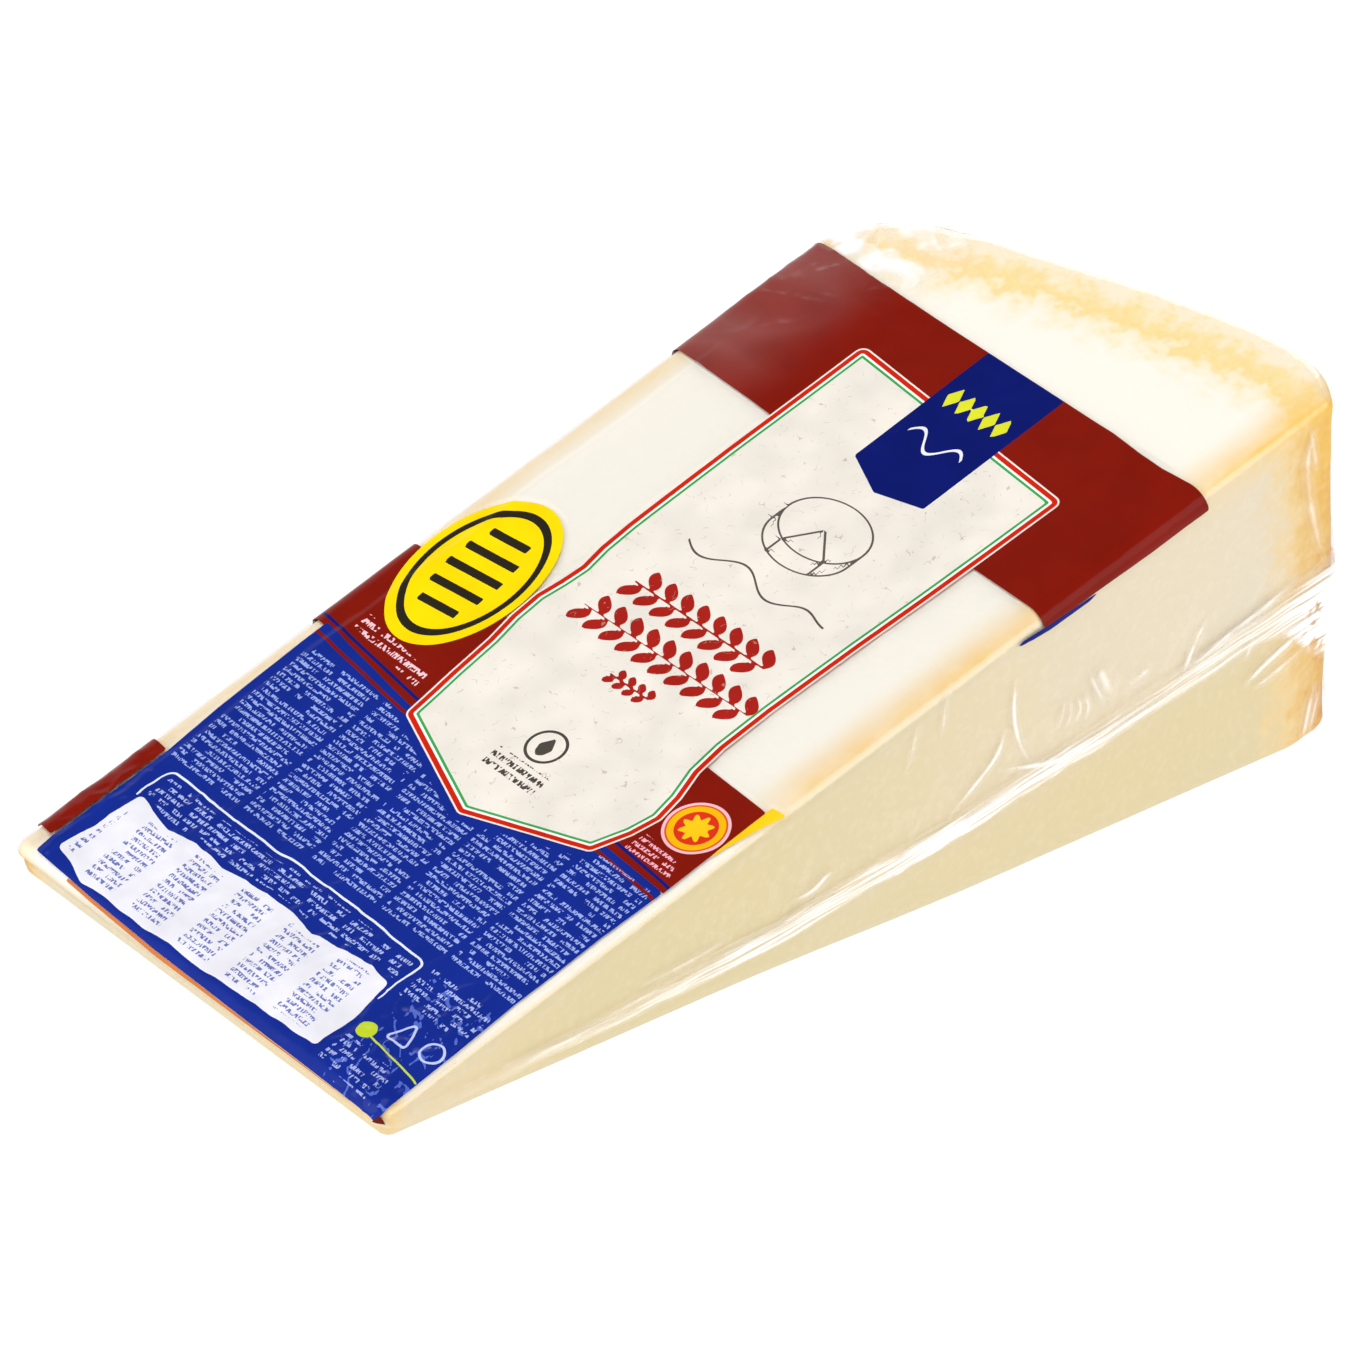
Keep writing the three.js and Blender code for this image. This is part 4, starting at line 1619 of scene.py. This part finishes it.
@dataclass(frozen=True)
class PrintLayout:
    """Where the print's shapes lie, in mm: u from the wheel's axis along the slope and v across
    from the halving cut. Each shape becomes one distance value on the web."""

    far_edge: tuple = (
        (192.0, 97.0), (191.6, 60.0), (191.6, 31.6), (191.6, 20.4), (191.0, 13.5),
        (190.9, 8.7), (191.5, 3.0), (191.9, -2.3),
    )
    near_edge: tuple = ((79.6, 1.7), (67.0, 1.9), (58.0, 1.7), (50.0, 1.7), (38.0, 1.2), (21.6, 0.8))
    tip_edge: tuple = ((21.6, 0.8), (21.8, 30.0), (22.05, 54.0), (22.5, 70.0), (23.2, 84.0))
    panel: tuple = (
        (180.1, 65.1), (176.1, 15.4), (152.6, 15.8), (134.0, 16.4), (115.9, 16.8), (106.0, 16.6),
        (100.0, 15.8), (94.5, 13.9), (89.6, 13.0), (84.5, 14.0), (78.0, 16.5), (70.3, 38.5),
        (79.1, 61.1), (90.0, 62.4), (98.3, 63.2), (104.0, 64.3), (109.6, 64.7), (114.0, 64.1),
        (118.3, 63.8), (123.0, 64.6), (129.2, 65.0), (150.0, 65.2),
    )

    def shapes(self, u: Values, v: Values) -> dict[str, Values]:
        """Signed distances in mm to every printed shape.

        Args:
            u: along the slope.
            v: across.

        Returns:
            One array for each shape's name.
        """
        at = np.stack([u, v], axis=-1)
        shapes = self.fields(at)
        shapes.update(self.panel_marks(at))
        shapes.update(self.badge_marks(at))
        shapes.update(self.tip_marks(at))
        return shapes

    def fields(self, at: Points) -> dict[str, Values]:
        """The red bands, the blue field, the panel, the tab, slivers past the edges, and a painted shadow
        line along the tip edge.
        """
        upper = [(180.0, -2.3), (168.0, -1.8), (157.0, -1.5), (157.1, 15.0), (160.2, 70.0), (160.8, 97.0)]
        band = signed_distance(at, list(self.far_edge) + upper)
        lower_top = [(79.6, 1.6), (88.0, 1.75), (101.0, 1.9), (101.7, 16.0), (103.1, 63.0), (105.5, 97.0)]
        lower = signed_distance(at, lower_top + [(84.9, 97.0), (80.8, 62.0), (80.4, 15.0)])
        beyond = [(50.0, 84.0), (61.0, 85.0), (79.0, 85.6), (84.3, 85.6), (80.8, 62.0), (80.4, 15.0)]
        blue = signed_distance(at, list(self.tip_edge) + beyond + list(self.near_edge[:-1]))
        parting_far = at[..., 0] - np.interp(at[..., 1], [-4, 15, 62, 97], [78.8, 80.4, 80.8, 84.9])
        tip_v, tip_u = [v for _, v in self.tip_edge], [u for u, _ in self.tip_edge]
        # Painted shadow: a thin orange-brown line just inside the print's tip edge, for the shade of that
        # edge.
        past_tip = at[..., 0] - np.interp(at[..., 1], tip_v, tip_u) + 0.25
        tip_line = thin_line(past_tip, (at[..., 1] > 6.0) & (at[..., 1] < 76.0))
        strip = signed_distance(at, [(26.5, 84.5), (50.0, 84.4), (50.8, 90.8), (27.5, 90.4)])
        tab = signed_distance(
            at, [(191.6, 31.3), (161.0, 31.1), (158.6, 39.9), (162.3, 48.2), (191.6, 48.5)]
        )
        blue_sliver = signed_distance(
            at,
            [(150.0, -0.6), (158.0, -1.3), (168.5, -2.0), (166.5, -2.6), (158.0, -2.3), (153.0, -1.6)],
        )
        yellow_sliver = signed_distance(at, [(88.0, 1.8), (102.3, 1.95), (103.6, -0.4), (99.5, 0.5)])
        corner = signed_distance(at, [(21.2, -2.0), (22.7, -2.0), (22.4, 1.2), (21.2, 1.2)])
        return {
            "far_band": band,
            "lower_band": lower,
            "blue_field": blue,
            "parting": np.where(
                (lower < 0.8) | (blue < 0.8), parting_far, 99.0
            ),
            "edge_strip": strip,
            "tip_line": tip_line,
            "tab": tab,
            "panel": rounded(at, list(self.panel), 1.6),
            "blue_sliver": blue_sliver,
            "yellow_sliver": yellow_sliver,
            "corner_spot": corner,
        }

    def row_of(self, at: Points, row: float, stops: list[float], high: float, wide: float) -> Values:
        """Distance to a row of lozenges centred at these v, high along u and wide along v."""
        found = np.full(at.shape[:-1], 99.0)
        for stop in stops:
            lozenge = [(row + high, stop), (row, stop + wide), (row - high, stop), (row, stop - wide)]
            found = np.minimum(found, signed_distance(at, lozenge))
        return found

    def branch(
        self, at: Points, row: float, run: tuple[float, float], pitch: float, high: float, lean: float
    ) -> Values:
        """Distance to a leafy branch that runs across, a pair of pointed leaves at each pitch.

        A leaf reaches from the stem to high, its half width there pitch * 0.38 * (1 - t^2) with t
        from -1 to 1 along it, and lean shifts it along v for each mm from the stem.

        Args:
            at: (..., 2) as (u, v).
            row: the stem's u.
            run: v of its ends.
            pitch: leaf to leaf, mm.
            high: length of a leaf, mm.
            lean: shift in v per mm.

        Returns:
            One distance for each place.
        """
        u, v = at[..., 0], at[..., 1]
        out = np.abs(u - row)
        along = v - run[0] - lean * out + 0.5 * pitch * (u > row)
        last = round((run[1] - run[0]) / pitch) - 1
        number = np.clip(np.floor(along / pitch), 0, last)
        across = np.abs(along - (number + 0.5) * pitch)
        share = (out - 0.52 * high) / (0.5 * high)
        leaf = across - 0.38 * pitch * (1.0 - share**2)
        stem = np.maximum(out - 0.16, np.abs(v - (run[0] + run[1]) / 2) - (run[1] - run[0]) / 2)
        return np.minimum(leaf, stem)

    def panel_marks(self, at: Points) -> dict[str, Values]:
        """Ornaments of the panel and tab: rows of lozenges, a flourish, a cheese wheel in line and
        a small ring with a drop."""
        u, v = at[..., 0], at[..., 1]
        title = np.minimum(
            self.branch(at, 121.4, (24.6, 54.6), 3.75, 3.7, 0.55),
            self.branch(at, 112.9, (19.2, 57.0), 3.78, 3.7, 0.55),
        )
        small = self.branch(at, 105.4, (33.6, 42.6), 2.25, 2.0, 0.4)
        swing = 133.2 + 1.6 * np.sin((v - 24.0) / 31.0 * 4.0 * math.pi) * ease(v, 22.0, 32.0)
        flourish = thin_line(u - swing, (v > 24.0) & (v < 55.0))
        rim = np.hypot((u - 148.0) / 0.72, v - 39.5) - 8.6
        lower = np.hypot((u - 144.6) / 0.72, v - 39.5) - 8.6
        low_rim = thin_line(lower, (u < 144.6) & (rim > 0.0))
        rim = thin_line(rim, rim < 9.0)
        cut_ends = ((143.0, 34.6), (142.4, 43.6))
        cuts = [signed_line(at, (148.0, 39.5), end) for end in cut_ends]
        drops = [signed_line(at, end, (end[0] - 3.4, end[1])) for end in cut_ends]
        posts = [signed_line(at, (148.0, post), (144.6, post)) for post in (30.9, 48.1)]
        ring = np.hypot(u - 88.5, v - 38.4) - 3.3
        drop = signed_distance(
            at,
            [(90.7, 38.4), (88.4, 39.8), (86.9, 39.3), (86.2, 38.4), (86.9, 37.5), (88.4, 37.0)],
        )
        tab_row = self.row_of(at, 181.0, [34.6, 37.3, 40.0, 42.7, 45.4], 2.5, 1.25)
        wave = 171.5 + 1.9 * np.sin((v - 34.0) / 12.0 * 3.0 * math.pi)
        tab_wave = thin_line(u - wave, (v > 34.0) & (v < 46.0))
        return {
            "title_marks": np.minimum(title, small),
            "grey_lines": closest(flourish, rim, low_rim, *cuts, *drops, *posts),
            "icon_ring": ring,
            "icon_drop": drop,
            "icon_words": signed_distance(at, [(84.2, 32.6), (84.2, 44.2), (79.6, 44.2), (79.6, 32.6)]),
            "tab_row": tab_row,
            "tab_wave": tab_wave,
        }

    def badge_marks(self, at: Points) -> dict[str, Values]:
        """A plain oval badge with an inner ring and bars, and a small rosette."""
        u, v = at[..., 0], at[..., 1]
        turn = math.radians(6.0)
        du, dv = u - 106.3, v - 75.6
        p = du * math.cos(turn) + dv * math.sin(turn)
        q = -du * math.sin(turn) + dv * math.cos(turn)
        badge = (np.hypot(p / 17.2, q / 10.9) - 1.0) * 10.9
        ear = np.full(u.shape, 99.0)
        for stop in (-8.4, -4.2, 0.0, 4.2, 8.4):
            half = 5.6 * math.sqrt(max(0.05, 1.0 - (stop / 12.0) ** 2))
            bar = np.maximum(np.abs(p - stop ) - 0.8, np.abs(q) - half)
            ear = np.minimum(ear, bar)
        far_seal = np.hypot(u - 91.9, v - 7.6)
        angle = np.arctan2(v - 7.6, u - 91.9)
        petals = far_seal - (2.3 + 0.6 * np.cos(angle * 8.0))
        return {
            "badge": badge,
            "badge_ink": ear,
            "seal": far_seal - 5.4,
            "seal_petals": petals,
            "far_words": signed_distance(at, [(89.9, 81.5), (87.2, 64.6), (83.9, 64.2), (86.4, 81.5)]),
            "near_words": signed_distance(at, [(86.3, 12.6), (85.2, 4.5), (82.2, 3.0), (82.0, 13.2)]),
        }

    def tip_marks(self, at: Points) -> dict[str, Values]:
        """The white table, its frame, the fine-print columns, small signs near the tip, and painted
        glints on the film's wrinkles over the blue field.
        """
        u, v = at[..., 0], at[..., 1]
        wavy = [
            (41.2, 79.8), (40.0, 76.0), (39.2, 71.0), (39.9, 65.0), (39.3, 58.0), (39.9, 51.0),
            (40.3, 44.0), (39.4, 37.0), (40.2, 30.0), (40.9, 24.0), (40.0, 19.6),
        ]
        table_outline = wavy + [(31.7, 18.2), (24.6, 18.8), (23.6, 45.0), (23.4, 73.3), (25.8, 81.6)]
        shaken = at + 0.3 * np.stack(
            [noise(flat_points(u / 5.0, v / 5.0), 107), noise(flat_points(u / 5.0, v / 5.0), 109)], -1
        )
        table = rounded(shaken, table_outline, 0.9)
        frame_box = rounded(
            shaken,
            [(47.8, 80.4), (46.9, 60.0), (47.4, 40.0), (46.4, 18.4), (36.0, 18.4), (36.0, 80.4)],
            1.4,
        )
        columns = signed_distance(at, [(79.0, 83.6), (49.2, 82.8), (49.2, 2.0), (78.6, 2.6)])
        gutters = np.min([np.abs(v - stop) for stop in (66.0, 49.6, 33.4, 17.0)], axis=0)
        columns = np.maximum(columns, 0.7 - gutters)
        columns = np.maximum(columns, 1.4 - rounded(at, list(self.panel), 1.6))
        lists = np.mod(v - 22.5, 11.2) - 7.2
        table_text = np.maximum(table + 1.2, lists)
        frame_text = np.maximum(frame_box + 1.2, 1.0 - table)
        blob = np.hypot(u - 31.7, v - 14.9) - 1.7
        stalk = signed_line(at, (31.2, 13.8), (29.6, 1.0))
        triangle = rounded(at, [(37.6, 9.6), (32.8, 12.0), (32.8, 7.2)], 0.5)
        hoop = np.hypot(u - 35.0, v - 3.6) - 1.9
        wrinkled = folds(flat_points((u + 0.5 * v) / 4.0, (v - 0.4 * u) / 2.6), 113)
        small = signed_distance(at, [(29.4, 16.6), (28.8, 4.0), (22.6, 4.6), (23.4, 16.8)])
        near_text = signed_distance(at, [(47.0, 16.6), (47.0, 2.0), (39.2, 2.0), (39.6, 16.8)])
        return {
            "table": table,
            "frame_line": thin_line(frame_box, table > 0.5),
            "columns": columns,
            "table_text": table_text,
            "frame_text": np.minimum(frame_text, near_text),
            "disc": blob,
            "stalk": stalk,
            "signs": closest(triangle, hoop),
            # Painted highlight: light blue glints on the crests of wrinkles near the tip.
            "scuffs": 0.74 - wrinkled * ease(u, 52.0, 44.0) * ease(v, 24.0, 14.0),
            "small_text": small,
        }


RED = "#7E170B"
BLUE = "#0F1C74"
FIELD_BLUE = "#142A8A"
CREAM = "#E7E0D6"
INKS = (
    Ink("far_band", RED, base=True),
    Ink("lower_band", RED, base=True),
    Ink("edge_strip", RED, base=True),
    # Painted shadow along the print's tip edge.
    Ink("tip_line", "#C8743C", half=0.2, base=True),
    Ink("blue_field", FIELD_BLUE, base=True),
    Ink("blue_sliver", BLUE, base=True),
    Ink("yellow_sliver", "#F2C51C", base=True),
    Ink("corner_spot", "#5E1510", base=True),
    Ink("parting", BLUE, edge=1.6, half=0.3),
    Ink("parting", RED, edge=-1.5, half=0.3),
    Ink("badge", "#F7D708", base=True),
    Ink("badge", "#2A251C", edge=-1.9, half=0.5),
    Ink("badge_ink", "#2A251C"),
    Ink("seal", "#F3B9C2", base=True),
    Ink("seal", "#D8531C", edge=-0.5),
    Ink("seal", "#F2B40F", edge=-0.8),
    Ink("seal", "#D8331C", edge=-1.9),
    Ink("seal_petals", "#F5C31A"),
    Ink("panel", "#EFE3DA", base=True),
    Ink("panel", "#C9240F", edge=-0.3),
    Ink("panel", "#F8F4EE", edge=-1.15),
    Ink("panel", "#35A355", edge=-1.55),
    Ink("panel", CREAM, edge=-2.0),
    Ink("tab", "#0C1868", base=True),
    Ink("tab_row", "#D9DC2E"),
    Ink("tab_wave", "#E8E9F2", half=0.34),
    Ink("title_marks", "#A3211A"),
    Ink("grey_lines", "#5A554E", half=0.2),
    Ink("icon_ring", "#4A463F", half=0.26),
    Ink("icon_drop", "#4A463F"),
    Ink("frame_line", "#DCE3F6", half=0.2),
    # Painted glints on the wrinkled film over the blue field.
    Ink("scuffs", "#5268C0"),
    Ink("table", "#E5E4EC"),
    Ink("disc", "#BFD22C"),
    Ink("stalk", "#BFD22C", half=0.17),
    Ink("signs", "#B9C4EC", half=0.2),
)
BLOCKS = (
    TypeBlock("columns", "#93A6E0", share=0.95),
    TypeBlock("frame_text", "#A3B2E6", share=0.6),
    TypeBlock("table_text", "#6A74B4", share=1.0),
    TypeBlock("small_text", "#9CA8DC", share=0.6),
    TypeBlock("near_words", "#F2A8B8", share=1.2),
    TypeBlock("far_words", "#F2C4CC", pitch=1.9, size=0.45, share=1.2),
    TypeBlock("icon_words", "#4A463F", pitch=1.9, size=0.45, share=1.3),
)


@dataclass(frozen=True)
class PrintedTopWeb:
    """The printed web: from the near edge's rounding over the slope and down the far face."""

    wedge: Wedge
    lie: FilmLie
    layout: PrintLayout
    finish: PrintedWeb
    window: TautFilm
    proud: float = 0.12
    length_steps: int = 400
    width_steps: int = 196

    def section(self) -> tuple[Values, Values, Values, Values]:
        """Height lean, width share and lean, and drop of the lines across the web."""
        side = np.tan(np.radians([0.0, 11.25, 22.5, 33.75]))
        start = np.tan(np.radians([45.0, 36.0, 27.0, 18.0, 9.0]))
        over = np.tan(np.radians([11.25, 22.5, 33.75, 45.0]))
        under = np.tan(np.radians([33.75, 22.5, 11.25, 0.0]))
        inner = np.linspace(0, 1, self.width_steps)
        run = np.linspace(0, 1, 14)[1:]
        low = np.array([0.12, 0.06])
        lean = [0 * low, side, 0 * start + 1, 0 * inner + 1, 0 * over + 1, under, 0 * run]
        share = [0 * low, 0 * side, 0 * start, inner, 0 * over + 1, 0 * under + 1, 0 * run + 1]
        turn = [0 * low - 1, 0 * side - 1, -start, 0 * inner, over, 0 * under + 1, 0 * run + 1]
        drop = [low, 0 * side, 0 * start, 0 * inner, 0 * over, 0 * under, run]
        return tuple(np.concatenate(part) for part in (lean, share, turn, drop))

    def build(self) -> bpy.types.Object:
        """The web's grid with the print's distance values. v is the way across the skin: y on the
        slope and the way down past the far edge."""
        wedge = self.wedge
        lean, share, turn, drop = self.section()
        tip_turn = np.tan(np.radians([79.0, 74.0, 67.0, 57.0, 45.0, 36.0, 27.0, 18.0, 9.0]))
        inner = np.linspace(0, 1, self.length_steps)
        reach = np.sqrt(
            (wedge.rind_radius(share, np.ones_like(share)) - wedge.edge_round) ** 2
            - wedge.edge_round**2
        )
        start = wedge.tip_cut + wedge.edge_round - wedge.apex[0]
        ends = (wedge.print_end - wedge.apex[0] - start) / (reach - wedge.apex[0] - start)
        length = np.concatenate([0 * tip_turn, inner])[:, None] * ends[None, :]
        length_lean = np.concatenate([-tip_turn, 0 * inner])[:, None] + 0 * length
        grid = np.ones_like(length)
        bare, normals = wedge.skin(
            (length, length_lean),
            (grid, lean * grid),
            (share * grid, turn * grid),
            drop * grid,
        )
        rise, _ = self.lie.relief(bare, normals)
        u = wedge.along_slope(bare)
        step = np.linalg.norm(np.diff(bare, axis=1), axis=-1)
        way = np.concatenate([0 * step[:, :1], np.cumsum(step, axis=1)], axis=1)
        tangent = int(np.argmax((share == 0) & (turn == 0)))
        v = way - way[:, tangent : tangent + 1] + wedge.edge_round
        lift = 0.35 * ease(u, 186.0, 191.5) * bell(bare[..., 1] - 12.0, 9.0)
        points = bare + normals * (rise + self.proud + lift)[..., None]
        ids = np.arange(u.size).reshape(u.shape)
        values = {name: field_values.ravel() for name, field_values in self.layout.shapes(u, v).items()}
        values["print_mm"] = np.stack([u, v, 0 * u], axis=-1).reshape(-1, 3)
        # Painted reflection: a pale sheen on the print towards the far edge, in soft folds.
        soft = folds(flat_points((u + 0.6 * v) / 16.0, (v - 0.6 * u) / 34.0), 127, 1)
        painted_sheen = 0.12 * ease(v, 66.0, 88.0) * ease(u, 130.0, 170.0) * (0.4 + 0.6 * soft)
        values["painted_sheen"] = painted_sheen.ravel()
        quads = grid_quads(ids, False)
        web = make_piece(
            "printed_web",
            wedge.narrowed(points).reshape(-1, 3),
            quads,
            self.finish.build(),
            "printed_film",
            values,
        )
        inked = np.min([values[ink.shape] for ink in self.finish.inks if ink.base], axis=0)
        second_finish(web, self.window.build(), np.all(inked[quads] > 0.5, axis=1))
        return web


# ---------------------------------------------------------------- studio


@dataclass(frozen=True)
class Softbox:
    """A square area light that looks at the chunk."""

    name: str
    place: tuple[float, float, float]
    size: float
    watts: float

    def build(self) -> None:
        """Adds the light, turned to the chunk's middle."""
        data = bpy.data.lights.new(self.name, "AREA")
        data.shape = "SQUARE"
        data.size = self.size
        data.energy = self.watts
        lamp = bpy.data.objects.new(self.name, data)
        bpy.context.scene.collection.objects.link(lamp)
        back = np.array(self.place) - np.array([0.0, 0.0, 0.03])
        back /= np.linalg.norm(back)
        side = np.cross([0.0, 0.0, 1.0], back) if abs(back[2]) < 0.99 else np.array([1.0, 0, 0])
        side = side / np.linalg.norm(side)
        up = np.cross(back, side)
        turned = np.eye(4)
        turned[:3, 0], turned[:3, 1], turned[:3, 2], turned[:3, 3] = side, up, back, self.place
        lamp.matrix_world = Matrix(turned.tolist())


@dataclass(frozen=True)
class Studio:
    """White paper floor, soft light and the camera."""

    azimuth: float = -46.31
    elevation: float = 32.95
    roll: float = 7.17
    lens: float = 290.88
    distance: float = 1674.0
    offsets: tuple[float, float] = (4.539, 6.358)
    target: tuple[float, float, float] = (0.0, 0.0, 30.0)
    low_light: float = 0.9
    high_light: float = 0.08
    softboxes: tuple[Softbox, ...] = (
        Softbox("overhead_softbox", (-0.55, -0.25, 1.2), 0.9, 9.6),
        Softbox("left_softbox", (-1.25, 0.35, 0.6), 0.8, 5.0),
        Softbox("front_softbox", (0.25, -1.3, 0.5), 0.9, 4.4),
        Softbox("back_softbox", (0.95, 0.85, 0.75), 0.9, 7.0),
    )

    def camera(self) -> bpy.types.Object:
        """The camera: turned by azimuth, elevation and roll about the target, then moved."""
        a, e, r = (math.radians(n) for n in (self.azimuth, self.elevation, self.roll))
        back = np.array([math.sin(a) * math.cos(e), -math.cos(a) * math.cos(e), math.sin(e)])
        level = np.array([math.cos(a), math.sin(a), 0.0])
        upright = np.cross(back, level)
        right = math.cos(r) * level + math.sin(r) * upright
        up = -math.sin(r) * level + math.cos(r) * upright
        place = (
            np.array(self.target)
            - self.offsets[0] * right
            - self.offsets[1] * up
            + self.distance * back
        )
        turned = np.eye(4)
        turned[:3, 0], turned[:3, 1], turned[:3, 2], turned[:3, 3] = right, up, back, place * MM
        data = bpy.data.cameras.new("product_camera")
        data.sensor_fit = "HORIZONTAL"
        data.sensor_width = 36.0
        data.lens = self.lens
        data.clip_start, data.clip_end = 0.05, 20.0
        camera = bpy.data.objects.new("product_camera", data)
        bpy.context.scene.collection.objects.link(camera)
        camera.matrix_world = Matrix(turned.tolist())
        bpy.context.scene.camera = camera
        return camera

    def build(self) -> None:
        """Floor, world, lights, camera and a plain view transform."""
        side = np.linspace(-3.0, 3.0, 7)
        x, y = np.meshgrid(side, side, indexing="ij")
        mesh = bpy.data.meshes.new("paper_floor")
        points = np.stack([x, y, 0 * x - 0.0002], axis=-1).reshape(-1, 3)
        mesh.from_pydata(points.tolist(), [], grid_quads(np.arange(49).reshape(7, 7)).tolist())
        paper = StudioPaper().build()
        paper.cycles.emission_sampling = "NONE"
        mesh.materials.append(paper)
        floor = bpy.data.objects.new("paper_floor", mesh)
        bpy.context.scene.collection.objects.link(floor)
        world = bpy.data.worlds.new("soft_white_room")
        world.use_nodes = True
        world.node_tree.nodes.clear()
        ways = add_node(world.node_tree, "ShaderNodeTexCoord").outputs["Generated"]
        upward = add_node(world.node_tree, "ShaderNodeSeparateXYZ", {0: ways}).outputs[2]
        light = add_node(
            world.node_tree,
            "ShaderNodeMapRange",
            {
                "Value": upward,
                "From Min": 0.5,
                "From Max": 0.72,
                "To Min": self.low_light,
                "To Max": self.high_light,
            },
            interpolation_type="SMOOTHSTEP",
        ).outputs["Result"]
        sky = add_node(
            world.node_tree,
            "ShaderNodeBackground",
            {"Color": (1.0, 1.0, 1.0, 1.0), "Strength": light},
        )
        add_node(world.node_tree, "ShaderNodeOutputWorld", {"Surface": sky.outputs[0]})
        bpy.context.scene.world = world
        for softbox in self.softboxes:
            softbox.build()
        self.camera()
        bpy.context.scene.view_settings.view_transform = "Standard"
        bpy.context.scene.view_settings.look = "None"


def main() -> None:
    """Loads the frame, builds every piece and the studio."""
    logging.basicConfig(level=logging.INFO, format="%(name)s: %(message)s")
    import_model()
    wedge = Wedge()
    lie = FilmLie(wedge)
    Studio().build()
    CheeseChunk(wedge, CutCheese()).build()
    ClearFilmWebs(wedge, lie, ClearBarrierFilm(), TautFilm()).build()
    window = TautFilm("clear_lidding_film")
    seam_film = ClearBarrierFilm(
        name="milky_seam_film", streaked=True, roughness=0.2, inner_glow=0.17
    )
    BeltSeam(wedge, lie, seam_film).build()
    crease_film = ClearBarrierFilm(name="creased_film", roughness=0.2, inner_glow=0.13)
    FilmCreases(wedge, lie, crease_film).build()
    PrintedTopWeb(wedge, lie, PrintLayout(), PrintedWeb(INKS, BLOCKS), window).build()
    bpy.context.view_layer.update()


if __name__ == "__main__":
    main()
